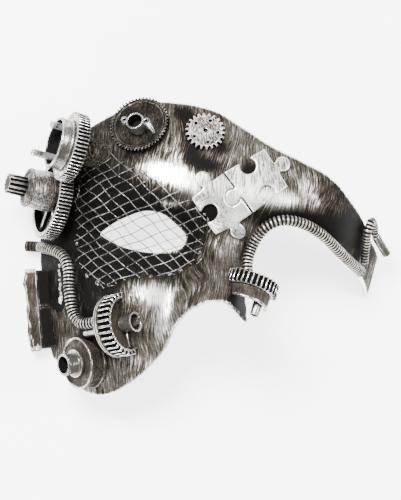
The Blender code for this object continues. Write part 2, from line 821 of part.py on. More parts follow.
def make_cheek_gear():
    """The gear that stands on edge in the cheek, with its dished hub."""
    size = CHEEK_GEAR
    teeth = gear_points(size["teeth"], size["tip"], size["root"])
    ring = polygon(BORE_SIDES, CHEEK_BORE)
    gear = plate("cheek_gear", [teeth, ring], -size["thick"], 0, BRIGHT_SILVER)
    seat(gear, CHEEK_SEAT, CHEEK_AXIS)
    bedded(gear)
    back = -size["thick"] - GAP
    profile = disc_profile(COLLAR_RADIUS, back - COLLAR_THICK, back)
    collar = turned("cheek_collar", profile, DARK_SILVER)
    seat(collar, CHEEK_SEAT, CHEEK_AXIS)
    bedded(collar)
    dish = CHEEK_BORE - GAP
    top = -DISH_DEPTH
    neck = NECK_RADIUS - MOUTH_WALL
    flare = MOUTH_OUT - MOUTH_FLARE
    profile = [
        (MOUTH_RADIUS, MOUTH_OUT),
        (NECK_RADIUS, flare),
        (NECK_RADIUS, top),
        (dish, top),
        (dish, top - DISH_THICK),
        (neck, top - DISH_THICK),
        (neck, flare),
        (MOUTH_RADIUS - MOUTH_WALL, MOUTH_OUT),
    ]
    hub = turned("cheek_hub", profile, DARK_SILVER, segments=TUBE_SIDES, ring=True)
    seat(hub, CHEEK_SEAT, CHEEK_AXIS)
    bedded(hub)


def make_boss():
    """The flanged drum low on the cheek, with its nozzle."""
    profile = [
        (0, 0),
        (BOSS_RADIUS, 0),
        (BOSS_RADIUS, -BOSS_LIP),
        (DRUM_RADIUS, -BOSS_LIP),
        (DRUM_RADIUS, -DRUM_DEPTH),
        (0, -DRUM_DEPTH),
    ]
    drum = turned("boss_drum", profile, DARK_SILVER)
    seat(drum, BOSS_SEAT, BOSS_AXIS)
    bedded(drum)
    inner = NOZZLE_RADIUS - NOZZLE_WALL
    step = GAP + NOZZLE_STEP
    profile = [
        (NOZZLE_RADIUS, GAP + NOZZLE_LENGTH),
        (NOZZLE_RADIUS, step),
        (NOZZLE_RADIUS + NOZZLE_STEP, step),
        (NOZZLE_RADIUS + NOZZLE_STEP, GAP),
        (inner, GAP),
        (inner, GAP + NOZZLE_LENGTH),
    ]
    nozzle = turned("boss_nozzle", profile, BRIGHT_SILVER, segments=TUBE_SIDES, ring=True)
    seat(nozzle, BOSS_SEAT, BOSS_AXIS)


def make_nose():
    """The half gear and half cup on the side of the nose, with a tapered pin."""
    up = (0, 0, 1)
    size = NOSE_GEAR
    wide = 2 * size["tip"]
    box = [(-wide, NOSE_CUT - wide), (wide, NOSE_CUT - wide), (wide, NOSE_CUT), (-wide, NOSE_CUT)]
    back = plate("nose_back_half", [box], -wide, wide)
    seat(back, NOSE_SEAT, NOSE_AXIS, up)
    teeth = gear_points(size["teeth"], size["tip"], size["root"])
    gear = plate("nose_gear", [teeth], 0, size["thick"], BRIGHT_SILVER)
    seat(gear, NOSE_SEAT, NOSE_AXIS, up)
    boolean(gear, back, "DIFFERENCE")
    bedded(gear)
    low = size["thick"] + GAP
    rim = low + NOSE_CUP_LENGTH
    inner = NOSE_CUP_RADIUS - NOSE_CUP_WALL
    profile = cup_profile(NOSE_CUP_RADIUS, inner, low, rim)
    cup = turned("nose_cup", profile, DARK_SILVER, segments=CUP_SIDES)
    seat(cup, NOSE_SEAT, NOSE_AXIS, up)
    boolean(cup, back, "DIFFERENCE")
    bedded(cup)
    pin_low = low + CUP_FLOOR + GAP
    pin_end = rim + NOSE_PIN_OUT
    profile = [
        (NOSE_PIN_END, pin_end),
        (NOSE_PIN_TOP, pin_low),
        (NOSE_PIN_TOP - 2 * PIN_WALL, pin_low),
        (NOSE_PIN_END - PIN_WALL, pin_end),
    ]
    pin = turned("nose_pin", profile, BRIGHT_SILVER, segments=PIN_SIDES, ring=True)
    seat(pin, gear_seat(NOSE_SEAT, NOSE_AXIS, aside=NOSE_PIN_OFFSET, up=up), NOSE_AXIS, up)


def knob_points(start, end, out, extra):
    """One side of a jigsaw plate from its start to its end, with a round knob out or in."""
    start, end = Vector(start), Vector(end)
    along = (end - start).normalized()
    outward = Vector((-along.y, along.x)) * out
    middle = (start + end) / 2
    radius = KNOB_RADIUS + (extra if out < 0 else 0.0)
    centre = middle + outward * (KNOB_REACH - (PLATE_GAP if out < 0 else 0.0))
    points = [start, middle - along * (KNOB_NECK + (radius - KNOB_RADIUS))]
    for turn in range(-45, 226, 45):
        angle = math.radians(180 - turn)
        points.append(centre + (along * math.cos(angle) + outward * math.sin(angle)) * radius)
    points.append(middle + along * (KNOB_NECK + (radius - KNOB_RADIUS)))
    return [(p.x, p.y) for p in points]


def make_plates():
    """The two interlocking jigsaw plates, which follow the brow."""
    for name, (corners, knobs) in PLATES.items():
        outline = []
        corners = tuple((wide(x, y), y) for x, y in corners)
        for start, end, out in zip(corners, corners[1:] + corners[:1], knobs):
            outline += knob_points(start, end, out, KNOB_CLEARANCE)
        made = add(name, mesh_of(name, skin_grid(lift=PLATE_LIFT)), BRIGHT_SILVER)
        if sum(poly.normal.z for poly in made.data.polygons) < 0:
            made.data.flip_normals()
        depth = made.modifiers.new("depth", "SOLIDIFY")
        depth.thickness = PLATE_THICK * MM
        depth.offset = 1.0
        cutter = plate(name + "_outline", [outline], -HEAD_DEPTH, HEAD_DEPTH)
        boolean(made, cutter, "INTERSECT")


def make_block():
    """The black block in two pieces on the side wall, with its cover slab."""
    top, bottom = (Vector((wide(x, y), y)) for x, y in (BLOCK_TOP, BLOCK_BOTTOM))
    down = (bottom - top).normalized()
    fall = HEAD_DEPTH / MEASURED_DEPTH
    back, front = BLOCK_BACK * fall, BLOCK_FRONT * fall
    out = Vector((down.y, -down.x))
    length = (bottom - top).length
    split = length * BLOCK_SPLIT

    def slab(name, first, last, near, far, front, look):
        corners = [top + down * first + out * near, top + down * last + out * near,
                   top + down * last + out * far, top + down * first + out * far]
        points = [(c.x, c.y) for c in corners]
        return bedded(plate(name, [points], back, front, look))

    inner = -BLOCK_INNER
    slab("side_block_upper", 0, split - GAP / 2, inner, BLOCK_THICK, front, BLACK)
    slab("side_block_lower", split + GAP / 2, length, inner, BLOCK_THICK, front, BLACK)
    near = BLOCK_THICK + GAP
    far = near + COVER_THICK
    last = length + COVER_EXTRA
    slab("side_cover", -COVER_EXTRA, last, near, far, front + COVER_PROUD, DARK_SILVER)


def smooth_route(route, step):
    """Points a step apart on a smooth curve through a route's own points."""
    points = [Vector(p) for p in route]
    points = [2 * points[0] - points[1]] + points + [2 * points[-1] - points[-2]]
    dense = []
    for a, b, c, d in zip(points, points[1:], points[2:], points[3:]):
        for i in range(12):
            t = i / 12
            dense.append(0.5 * (2 * b + (c - a) * t + (2 * a - 5 * b + 4 * c - d) * t * t
                                + (3 * b - a - 3 * c + d) * t**3))
    dense.append(points[-2])
    run = np.concatenate(([0.0], np.cumsum([(q - p).length for p, q in zip(dense, dense[1:])])))
    count = max(2, round(run[-1] / step))
    stops = np.linspace(0, run[-1], count + 1)
    return [tuple(np.interp(s, run, [p[k] for p in dense]) for k in range(3)) for s in stops]


# Centre lines by hand: X, Y and lift over the skin, or X, Y and Z where the hose overhangs it
BROW_START = (10.4, -15.4, 2.4)
BROW_RUN = (
    (8.1, -8.8),
    (9.8, -3.1),
    (11.9, 2.6),
    (14.8, 7.1),
    (19.5, 10.0),
    (24.7, 11.0),
    (31.2, 10.7),
    (37.6, 9.2),
    (43.6, 6.7),
    (49.6, 3.1),
    (55.8, -0.6),
    (61.9, -2.8),
)
RETURN_RUN = ((63.9, 1.6), (63.4, 4.4), (62.7, 9.5), (61.9, 14.4))
RETURN_LOOP = ((64.7, 18.2, -22.2), (66.4, 18.0, -25.3), (67.6, 16.3, -27.9), (68.4, 14.1, -29.9))
SLEEVE_END = (76.2, 7.0, -35.9)
CHEEK_START = (-79.1, -9.8, -48.2)
CHEEK_RUN = (
    (-71.0, -9.4),
    (-66.8, -10.9),
    (-63.2, -12.9),
    (-60.8, -15.8),
    (-59.2, -19.7),
    (-58.5, -23.5),
    (-58.0, -27.3),
    (-57.1, -31.0),
    (-56.2, -34.5),
    (-54.7, -38.1),
    (-52.4, -40.9),
    (-49.5, -41.5),
)


def make_hoses():
    step = 2.0 * HOSE_RADIUS
    brow = [placed(*BROW_START)] + [on_skin(x, y, HOSE_SEAT) for x, y in BROW_RUN]
    bedded(tube("brow_hose", smooth_route(brow, step), HOSE_RADIUS, BRIGHT_SILVER))
    thin = [on_skin(x, y, THIN_SEAT) for x, y in RETURN_RUN] + [placed(*p) for p in RETURN_LOOP]
    bedded(tube("brow_hose_return", smooth_route(thin, step), THIN_HOSE_RADIUS, BRIGHT_SILVER))
    last, end = thin[-1], placed(*SLEEVE_END)
    start = last + (end - last).normalized() * 3 * GAP
    tube("brow_sleeve", [start, end], SLEEVE_RADIUS, DARK_SILVER)
    cheek = [placed(*CHEEK_START)] + [on_skin(x, y, HOSE_SEAT) for x, y in CHEEK_RUN]
    axis = Vector(CHEEK_AXIS).normalized()
    back = CHEEK_SEAT - axis * (CHEEK_GEAR["thick"] + COLLAR_THICK + 2 * GAP)
    cheek.append(cheek[-1] + axis * (back - cheek[-1]).dot(axis))
    bedded(tube("cheek_hose", smooth_route(cheek, step), HOSE_RADIUS, BRIGHT_SILVER))


def settle():
    """Sets the rim on the floor plane and the middle of the whole on the origin."""
    graph = bpy.context.evaluated_depsgraph_get()
    low, high = Vector((9, 9, 9)), Vector((-9, -9, -9))
    for made in PARTS.objects:
        if made.type != "MESH":
            continue
        shown = made.evaluated_get(graph)
        for vert in shown.data.vertices:
            point = shown.matrix_world @ vert.co
            low = Vector(map(min, low, point))
            high = Vector(map(max, high, point))
    ROOT.location = (-(low.x + high.x) / 2, -(low.y + high.y) / 2, FLOOR_DEPTH * MM)
    print("settled by mm", [round(v / MM, 3) for v in ROOT.location])


BED = make_bed()
make_shell()
make_net()
make_temple()
make_wheel()
make_forehead()
make_small_gear()
make_cheek_gear()
make_boss()
make_nose()
make_plates()
make_block()
make_hoses()
settle()
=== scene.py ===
# %% [markdown]
# # A steampunk eye mask
#
# This lesson dresses a carnival mask: a thin shell that covers one eye, one cheek and part of the
# forehead, with gears, cups, hoses and a wire net glued on. The solids were made before. Here each
# piece gets its fine form and its finish: black paint, dry-brushed with silver.

# %% Load the solids
import json
import math

import bmesh
import bpy
import numpy as np
from mathutils import Matrix, Vector, noise

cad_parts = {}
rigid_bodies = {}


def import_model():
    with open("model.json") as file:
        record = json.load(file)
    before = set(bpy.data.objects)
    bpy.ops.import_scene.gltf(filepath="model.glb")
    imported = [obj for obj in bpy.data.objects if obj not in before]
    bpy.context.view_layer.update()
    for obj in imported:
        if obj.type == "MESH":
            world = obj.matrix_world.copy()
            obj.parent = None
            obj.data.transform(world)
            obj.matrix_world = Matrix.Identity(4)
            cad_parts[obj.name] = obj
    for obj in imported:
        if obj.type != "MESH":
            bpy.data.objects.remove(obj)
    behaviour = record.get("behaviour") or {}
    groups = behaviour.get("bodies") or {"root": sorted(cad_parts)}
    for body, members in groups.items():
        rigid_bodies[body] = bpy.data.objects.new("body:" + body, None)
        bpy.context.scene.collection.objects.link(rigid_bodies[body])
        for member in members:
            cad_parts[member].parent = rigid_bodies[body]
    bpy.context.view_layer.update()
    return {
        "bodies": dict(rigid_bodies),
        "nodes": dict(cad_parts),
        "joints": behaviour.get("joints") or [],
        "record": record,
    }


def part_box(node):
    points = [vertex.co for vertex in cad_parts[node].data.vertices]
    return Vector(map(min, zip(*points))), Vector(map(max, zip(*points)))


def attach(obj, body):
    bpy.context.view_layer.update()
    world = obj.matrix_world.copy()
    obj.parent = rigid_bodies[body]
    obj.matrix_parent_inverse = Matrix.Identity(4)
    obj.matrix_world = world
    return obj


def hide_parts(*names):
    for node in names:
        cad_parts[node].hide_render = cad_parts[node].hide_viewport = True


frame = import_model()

print("the kit gives", sorted(frame))

# %% [markdown]
# ## Where everything is
#
# The makers of masks work from a head form. All sizes here are in millimetres from the bridge of
# the nose: X to the wearer's left, Y up to the forehead, Z forward. `BRIDGE` is where that point
# lies in the part's own frame, in which the mask rests face up on its rear rim.

# %% Millimetres and the bridge
MM = 0.001
BRIDGE = Vector((7.79, 8.75, 52.0))
GAP = 0.35  # left between glued pieces, so that none runs into the next


def to_frame(point):
    """A point in millimetres from the bridge, as metres in the part's frame."""
    return (Vector(point) + BRIDGE) * MM


low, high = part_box("brow_sleeve")
print("sleeve", [round(v, 4) for v in low], [round(v, 4) for v in high])

# %% [markdown]
# ## The camera
#
# The photograph looks at the mask from a little to its right and below, with the head tilted. The
# camera stands a metre from the bridge, and its small shift puts the mask where the photo has it.

# %% The camera
TOWARDS_CAMERA = Vector((-0.13781868, -0.1391731, 0.98063085))
CAMERA_RIGHT = Vector((0.98052625, 0.12068332, 0.1549316))
CAMERA_UP = Vector((-0.1399081, 0.98288676, 0.11983046))

lens = bpy.data.cameras.new("camera")
lens.sensor_width = 36.0
lens.lens = 172.8
lens.shift_x = -0.052
lens.shift_y = -0.028
lens.clip_start = 0.01
camera = bpy.data.objects.new("camera", lens)
bpy.context.scene.collection.objects.link(camera)
axes = Matrix((CAMERA_RIGHT, CAMERA_UP, TOWARDS_CAMERA)).transposed()
camera.matrix_world = Matrix.Translation(to_frame((0, 0, 0)) + TOWARDS_CAMERA) @ axes.to_4x4()
bpy.context.scene.camera = camera
print("camera at", [round(v, 3) for v in camera.matrix_world.translation])

# %% [markdown]
# ## Floor and light
#
# A silver finish shows what is round it. The white floor glows, as paper lit from below does, and
# keeps the sides of the pieces silver. The sky is dim, so that black paint stays black. One large
# soft lamp over the wearer's right brow draws the bright bands on the cups and helps the one on the
# barrel, which is also a painted highlight. Two smaller ones lift the arm and the chin.

# %% Floor and light
FLOOR_GLOW = 3.0
SKY_STRENGTH = 0.15
WHITE = (1.0, 1.0, 1.0, 1.0)
floor_mesh = bpy.data.meshes.new("floor")
bm = bmesh.new()
bmesh.ops.create_grid(bm, x_segments=1, y_segments=1, size=3.0)
bm.to_mesh(floor_mesh)
bm.free()
floor = bpy.data.objects.new("floor", floor_mesh)
bpy.context.scene.collection.objects.link(floor)
pale = bpy.data.materials.new("pale floor")
pale.use_nodes = True
paint = pale.node_tree.nodes["Principled BSDF"]
for socket, value in (("Base Color", (0.97, 0.97, 0.97, 1.0)), ("Roughness", 0.9),
                      ("Emission Color", WHITE), ("Emission Strength", FLOOR_GLOW)):
    paint.inputs[socket].default_value = value
floor_mesh.materials.append(pale)


def lamp(name, where, size, watts):
    """A square soft lamp that faces the mask."""
    light = bpy.data.lights.new(name, "AREA")
    light.size = size
    light.energy = watts
    made = bpy.data.objects.new(name, light)
    made.location = where
    made.rotation_euler = Vector(where).to_track_quat("Z", "Y").to_euler()
    bpy.context.scene.collection.objects.link(made)


lamp("over the brow", (-0.45, 0.35, 1.05), 0.42, 56.0)
lamp("beside the arm", (0.90, 0.20, 0.90), 0.50, 22.0)
lamp("under the chin", (-0.30, -1.00, 0.75), 0.45, 13.0)
world = bpy.data.worlds.new("pale sky")
world.use_nodes = True
sky = world.node_tree.nodes["Background"]
sky.inputs["Color"].default_value = WHITE
sky.inputs["Strength"].default_value = SKY_STRENGTH
bpy.context.scene.world = world

# %% [markdown]
# ## The head form
#
# The shell was vacuum-formed or moulded over a head. Its skin is a height over each plan position:
# a rounded block for the head, a curve down the midline, and soft bumps for brow, socket and
# cheek. Every glued piece is placed from this skin, so the same form comes first.

# %% The head form
HEAD_HALF_WIDTH = 78.0
HEAD_DEPTH = 76.0
HEAD_SQUARENESS = 2.7
WIDEST_LEVEL = 5.0
FLOOR_DEPTH = 52.0
MIDLINE = ((-90, -26), (-70, -16), (-50, -9), (-35, -7), (-20, -6), (-8, -3), (0, 0),
           (10, 5), (22, 7.5), (35, 7), (48, 3), (60, -4), (75, -16))
NOSE = ((-12, 0, 9), (-4, 0.5, 8.3), (0, 1.5, 8), (6, 5.5, 8.2), (14, 12, 9),
        (24, 21, 11), (31, 25, 12.6), (36, 23, 13.2), (44, 5, 13.5))
BUMPS = ((3, 28, 26, 13, 9), (5, 42, 18, -34, 17), (-3, 17, 8, -28, 20), (-6.5, 63, 10, 7, 18))
SOCKET = (-9.5, 33, 17, -4, 13)


def bell(value, spread):
    return np.exp(-((value / spread) ** 2))


def eased(table, index, value):
    """A smooth curve through one column of a table whose first column rises."""
    stops = np.array([row[0] for row in table], float)
    heights = np.array([row[index] for row in table], float)
    slopes = np.gradient(heights, stops)
    value = np.clip(value, stops[0], stops[-1])
    low = np.clip(np.searchsorted(stops, value) - 1, 0, len(stops) - 2)
    span = stops[low + 1] - stops[low]
    t = (value - stops[low]) / span
    rise = heights[low] * (1 + 2 * t) * (1 - t) ** 2 + heights[low + 1] * t * t * (3 - 2 * t)
    return rise + span * t * (1 - t) * (slopes[low] * (1 - t) - slopes[low + 1] * t)


def half_width(y):
    off = y - WIDEST_LEVEL
    return HEAD_HALF_WIDTH - np.where(off < 0, 0.0030, 0.0018) * off**2


def side_fall(share):
    return HEAD_DEPTH * (1 - np.sqrt(1 - np.minimum(share, 0.9995) ** HEAD_SQUARENESS))


def bump(form, x, y):
    height, aside, aside_spread, level, level_spread = form
    return height * bell(np.abs(x) - aside, aside_spread) * bell(y - level, level_spread)


def smooth_face(x, y):
    """The face without its eye sockets."""
    z = eased(MIDLINE, 1, y) - side_fall(np.abs(x) / half_width(y))
    z = z + sum(bump(form, x, y) for form in BUMPS)
    return z + eased(NOSE, 1, -y) * bell(x, eased(NOSE, 2, -y))


def face(x, y):
    return smooth_face(x, y) + bump(SOCKET, x, y)


def skin(x, y, lift=0.0, ground=face, step=0.4):
    """Points that stand off the skin over plan positions, as rows of an array."""
    x, y = np.asarray(x, float), np.asarray(y, float)
    across = (ground(x + step, y) - ground(x - step, y)) / (2 * step)
    along = (ground(x, y + step) - ground(x, y - step)) / (2 * step)
    normal = np.stack([-across, -along, np.ones_like(across)], -1)
    normal = normal / np.linalg.norm(normal, axis=-1, keepdims=True)
    return np.stack([x, y, ground(x, y)], -1) + normal * (np.asarray(lift) + 0 * x)[..., None]


def on_skin(x, y, lift=0.0):
    return Vector(skin(x, y, lift))


def skin_normal(x, y):
    return on_skin(x, y, 1.0) - on_skin(x, y)


SHARES = np.linspace(0.0, 0.985, 500)
RUN = np.append(0.0, np.cumsum(np.hypot(np.diff(SHARES) * HEAD_HALF_WIDTH,
                                        np.diff(side_fall(SHARES)))))


def plan_x(run, y):
    """Plan X of points a given run over the skin from the midline."""
    return np.sign(run) * np.interp(np.abs(run), RUN, SHARES) * half_width(y)


def run_over(places):
    """Points laid out flat: their run over the skin from the midline, and their Y."""
    x, y = places[:, 0], places[:, 1]
    run = np.sign(x) * np.interp(np.abs(x) / half_width(y), SHARES, RUN)
    return np.stack([run, y, 0.0 * y], -1)


print("half run over the skin", round(float(RUN[-1]), 1), "mm")

# %% [markdown]
# ## Shader sums
#
# A finish is mostly arithmetic: where does the paint lie, how bright is a stroke. `Wire` wraps one
# socket of a shader so that Python's own signs build the nodes, which keeps each finish readable.

# %% A wire between shader nodes
class Wire:
    """A shader socket that sums can be written with."""

    def __init__(self, tree, socket):
        self.tree, self.socket = tree, socket

    def node(self, kind, settings, inputs, outlet=0):
        """Any other node, with its settings and the values or wires of its sockets."""
        made = self.tree.nodes.new(kind)
        for key, value in settings.items():
            setattr(made, key, value)
        for key, value in inputs.items():
            if isinstance(value, Wire):
                self.tree.links.new(value.socket, made.inputs[key])
            else:
                made.inputs[key].default_value = value
        return Wire(self.tree, made.outputs[outlet])

    def maths(self, operation, *values):
        return self.node("ShaderNodeMath", {"operation": operation}, dict(enumerate(values)))

    def __add__(self, other):
        return self.maths("ADD", self, other)

    __radd__ = __add__

    def __sub__(self, other):
        return self.maths("SUBTRACT", self, other)

    def __rsub__(self, other):
        return self.maths("SUBTRACT", other, self)

    def __mul__(self, other):
        return self.maths("MULTIPLY", self, other)

    __rmul__ = __mul__

    def ramp(self, start, end):
        """Rises smoothly from zero at the start to one at the end."""
        settings = {"interpolation_type": "SMOOTHSTEP"}
        return self.node("ShaderNodeMapRange", settings, {0: self, 1: start, 2: end})

    def stretch(self, factors):
        return self.node("ShaderNodeVectorMath", {"operation": "MULTIPLY"}, {0: self, 1: factors})

    def drift(self, amount, way):
        """A place moved along a way by an amount."""
        settings = {"operation": "MULTIPLY_ADD"}
        return self.node("ShaderNodeVectorMath", settings, {0: amount, 1: way, 2: self})

    def grain(self, scale, detail=4.0):
        """Soft noise between zero and one, about a half on the mean."""
        inputs = {"Vector": self, "Scale": scale, "Detail": detail, "Roughness": 0.6}
        return self.node("ShaderNodeTexNoise", {}, inputs)

    def between(self, first, second):
        """The first colour at zero, the second at one."""
        settings = {"data_type": "RGBA", "clamp_factor": True}
        first = first if isinstance(first, Wire) else (*first, 1.0)
        second = second if isinstance(second, Wire) else (*second, 1.0)
        return self.node("ShaderNodeMix", settings, {0: self, 6: first, 7: second}, 2)

    def relief(self, strength, depth=0.0002):
        """A surface that stands up where the value is high."""
        inputs = {"Strength": strength, "Distance": depth, "Height": self}
        return self.node("ShaderNodeBump", {}, inputs)


print("a wire also has", [name for name in vars(Wire) if not name.startswith("__")])

# %% [markdown]
# ## Silver over black
#
# The maker sprays the mask black and drags a nearly dry brush of silver over it. Silver takes on
# edges and on the proud parts of the skin, in strokes that run up and down. A brownish grey shows
# where the brush was almost empty. Three things stored on the mesh steer this: `silver`, how much
# paint lies about there, which on the shell, the plates, the barrel and the hoses also carries
# painted highlights and painted shade, `worn`, how far a corner stands out of its neighbours, which
# darkens hollows and the gaps between teeth with painted shade as well as leaving them unbrushed,
# and `brush`, the place with the skin laid out flat, which keeps the strokes as wide on steep sides
# as on the brow.

# %% The finishes
PAINT_GLOSS = 0.03  # more than this turns black paint grey under the lamps
BLACK = (0.0035, 0.0032, 0.003)
WARM = (0.030, 0.0245, 0.018)
GREY = (0.112, 0.103, 0.088)
SILVER = (0.92, 0.905, 0.88)
SILVER_METAL = 0.9
STROKE_RELIEF = 0.35
STROKE = (2.4, 0.15, 2.4)  # the brush runs up and down, so strokes are long that way


def new_finish(name):
    """A material, its shader and its places in millimetres."""
    made = bpy.data.materials.new(name)
    made.use_nodes = True
    tree = made.node_tree
    shader = tree.nodes["Principled BSDF"]
    shader.inputs["Specular IOR Level"].default_value = PAINT_GLOSS
    where = Wire(tree, tree.nodes.new("ShaderNodeTexCoord").outputs["Object"])
    return made, shader, where.stretch((1 / MM, 1 / MM, 1 / MM))


def stored(wire, name, outlet):
    return wire.node("ShaderNodeAttribute", {"attribute_name": name}, {}, outlet)


def feed(shader, wires):
    for socket, wire in wires.items():
        wire.tree.links.new(wire.socket, shader.inputs[socket])


def dry_brushed(name, cover, light, middle=GREY, warm=WARM, rough=0.40, drag=1.5):
    """Black paint with silver dragged over it."""
    made, shader, place = new_finish(name)
    sway = place.grain(0.05, 0.0) - 0.5
    lay = stored(place, "brush", 1).drift(sway, (10.0, 0.0, 0.0))
    strokes = lay.stretch(STROKE).grain(1.0, 3.0)
    fleck = place.grain(1.3)
    cloud = place.grain(0.12, 3.0)
    worn = stored(place, "worn", 2)
    # Clouds, strokes and flecks of silver, thicker on edges; hollows lose silver, partly as
    # unbrushed black and partly as painted shade
    amount = stored(place, "silver", 2) + cover
    amount = amount + (cloud - 0.5) * 0.6 + (strokes - 0.5) * drag + (fleck - 0.5) * 0.25
    amount = amount + worn.ramp(0.60, 0.80) * 0.34 - worn.ramp(0.42, 0.16) * 0.6
    # Thin paint is brownish, more of it is grey, and only thick paint is bright
    tinged = amount.ramp(0.16, 0.42)
    middling = amount.ramp(0.34, 0.60)
    bright = amount.ramp(0.52, 0.86)
    colour = bright.between(middling.between(tinged.between(BLACK, warm), middle), light)
    feed(shader, {"Base Color": colour, "Metallic": middling * SILVER_METAL,
                  "Roughness": rough + 0.20 - middling * 0.22,
                  "Normal": strokes.relief(STROKE_RELIEF)})
    return made


shell_finish = dry_brushed("brushed shell", 0.0, SILVER)
bright_finish = dry_brushed("worn bright silver", 0.60, (0.70, 0.69, 0.67), rough=0.27, drag=0.7)
dark_finish = dry_brushed("aged dark silver", 0.38, (0.62, 0.59, 0.54), (0.070, 0.062, 0.052),
                          rough=0.36, drag=0.8)
black_finish = dry_brushed("rough black", 0.12, (0.34, 0.33, 0.32), (0.026, 0.025, 0.024),
                           (0.006, 0.0057, 0.0055), drag=1.0)
wire_finish = dry_brushed("net wire", 0.30, (0.42, 0.41, 0.40), (0.05, 0.048, 0.045),
                          (0.012, 0.011, 0.010), drag=1.3)
print("brushed", [m.name for m in bpy.data.materials if m.name != "pale floor"])


# %% Paint inside and bare glue
def grained(name, colour, other, rough, metal):
    """Paint or glue of two near colours in a fine grain, duller in some places."""
    made, shader, place = new_finish(name)
    shader.inputs["Metallic"].default_value = metal
    fleck = place.grain(1.6)
    cloud = place.grain(0.15, 3.0)
    tint = (fleck * 0.6 + cloud * 0.4).ramp(0.38, 0.66)
    feed(shader, {"Base Color": tint.between(colour, other),
                  "Roughness": rough + (cloud - 0.5) * 0.3, "Normal": fleck.relief(0.3)})
    return made


inside_finish = grained("matt inside", (0.003, 0.003, 0.003), (0.009, 0.0085, 0.008), 0.75, 0.0)
glue_finish = grained("painted glue", (0.05, 0.047, 0.043), (0.22, 0.21, 0.20), 0.22, 0.8)
white_glue = grained("white glue", (0.42, 0.41, 0.39), (0.66, 0.65, 0.63), 0.28, 0.4)

# %% [markdown]
# ## From a mesh to a piece
#
# Every form below ends the same way: double points are merged, the faces are turned outwards, the
# points are moved to the part's frame, and what steers the finish is stored on them.

# %% Wear
EDGE_GAIN = 1.6


def standing_out(data):
    """For each point how far it stands out of its neighbours: a half is flat, one is an edge."""
    count = len(data.vertices)
    place = np.empty(count * 3)
    data.vertices.foreach_get("co", place)
    place = place.reshape(-1, 3)
    normal = np.array([v.normal for v in data.vertices])
    ends = np.array([edge.vertices[:] for edge in data.edges])
    total, number = np.zeros(count), np.zeros(count)
    for here, there in ((0, 1), (1, 0)):
        away = place[ends[:, here]] - place[ends[:, there]]
        away /= np.linalg.norm(away, axis=1, keepdims=True) + 1e-12
        np.add.at(total, ends[:, here], (away * normal[ends[:, here]]).sum(1))
        np.add.at(number, ends[:, here], 1.0)
    return np.clip(0.5 + EDGE_GAIN * total / np.maximum(number, 1.0), 0.0, 1.0)


# How a face says where its wear and its painted shade come from: the gaps between teeth get painted
# shade
FROM_POINTS, FLAT, EDGE, GAP_IN_SHADE = 0, 1, 2, 3
WEAR_AND_SHADE_OF = {FLAT: 0.5, EDGE: 0.8, GAP_IN_SHADE: 0.1}


def wear_and_shade_on_corners(data):
    """Wear and painted shade for each corner of each face, from its point or from what its face
    says.
    """
    points = standing_out(data)
    kinds = np.zeros(len(data.polygons), np.int32)
    if "rub" in data.attributes:
        data.attributes["rub"].data.foreach_get("value", kinds)
    corners = points[[loop.vertex_index for loop in data.loops]]
    kinds = np.repeat(kinds, [face.loop_total for face in data.polygons])
    for kind, value in WEAR_AND_SHADE_OF.items():
        corners[kinds == kind] = value
    return corners


print("a gap between teeth is worn", WEAR_AND_SHADE_OF[GAP_IN_SHADE], "and an edge", WEAR_AND_SHADE_OF[EDGE])


# %% Finishing a piece
def evenly(amount):
    """The same amount of silver all over a piece."""
    return lambda places: np.full(len(places), amount)


SAME_POINT = 0.001


def piece(name, bm, look, *nodes, silver=evenly(0.0), brush=None, sharp=38.0, inner=(),
          inside=None):
    """A finished piece from a mesh in millimetres, in place of some of the solids.

    `inside` gives each face's place among the finishes, of which `inner` are the others.
    """
    if inside:
        inner = inner or (inside_finish,)
        for part in bm.faces:
            part.material_index = int(inside(part.calc_center_median()))
    bmesh.ops.remove_doubles(bm, verts=bm.verts[:], dist=SAME_POINT)
    bmesh.ops.recalc_face_normals(bm, faces=bm.faces[:])
    places = np.array([v.co for v in bm.verts])
    bmesh.ops.translate(bm, verts=bm.verts[:], vec=BRIDGE)
    bmesh.ops.scale(bm, verts=bm.verts[:], vec=(MM, MM, MM))
    data = bpy.data.meshes.new(name)
    bm.to_mesh(data)
    bm.free()
    made = bpy.data.objects.new(name, data)
    bpy.context.scene.collection.objects.link(made)
    for finish in (look, *inner):
        data.materials.append(finish)
    data.shade_smooth()
    data.set_sharp_from_angle(angle=math.radians(sharp))
    # Wear on edges, and painted shade in hollows and between teeth
    worn = data.attributes.new("worn", "FLOAT", "CORNER")
    worn.data.foreach_set("value", wear_and_shade_on_corners(data).astype(np.float32))
    if "silver" not in data.attributes:
        amount = data.attributes.new("silver", "FLOAT", "POINT")
        amount.data.foreach_set("value", silver(places).astype(np.float32))
    lay = data.attributes.new("brush", "FLOAT_VECTOR", "POINT")
    lay.data.foreach_set("vector", (brush(places) if brush else places).astype(np.float32).ravel())
    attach(made, "root")
    if nodes:
        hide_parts(*nodes)
    print(name, len(data.polygons), "faces")


# %% [markdown]
# ## Cutting to a line
#
# A sheet is trimmed as with shears: a signed measure says how far each point lies inside the line.
# Edges that cross zero are split there, the cuts are joined over the faces, and what lies outside
# falls away. The same cut fits the back of a gear to the skin.

# %% Shears
def cut(bm, keep):
    """Drops what has a negative measure, with clean edges where the measure is zero."""
    measure = dict(zip(bm.verts, map(float, keep(np.array([v.co for v in bm.verts])))))
    for edge in bm.edges[:]:
        first, second = edge.verts
        if measure[first] * measure[second] < 0:
            share = measure[first] / (measure[first] - measure[second])
            middle = bmesh.utils.edge_split(edge, first, share)[1]
            measure[middle] = 0.0
    bmesh.ops.connect_verts(bm, verts=[v for v in bm.verts if measure[v] == 0.0])
    outside = [f for f in bm.faces if min(measure[v] for v in f.verts) < 0]
    bmesh.ops.delete(bm, geom=outside, context="FACES")


print("shears ready")


# %% Measures to cut by
SLANT = 0.7  # on a slope the skin is nearer than the height over it says


def above_skin(places, clearance=0.15):
    """How far points stand over the skin and a small clearance."""
    return (places[:, 2] - face(places[:, 0], places[:, 1])) * SLANT - clearance


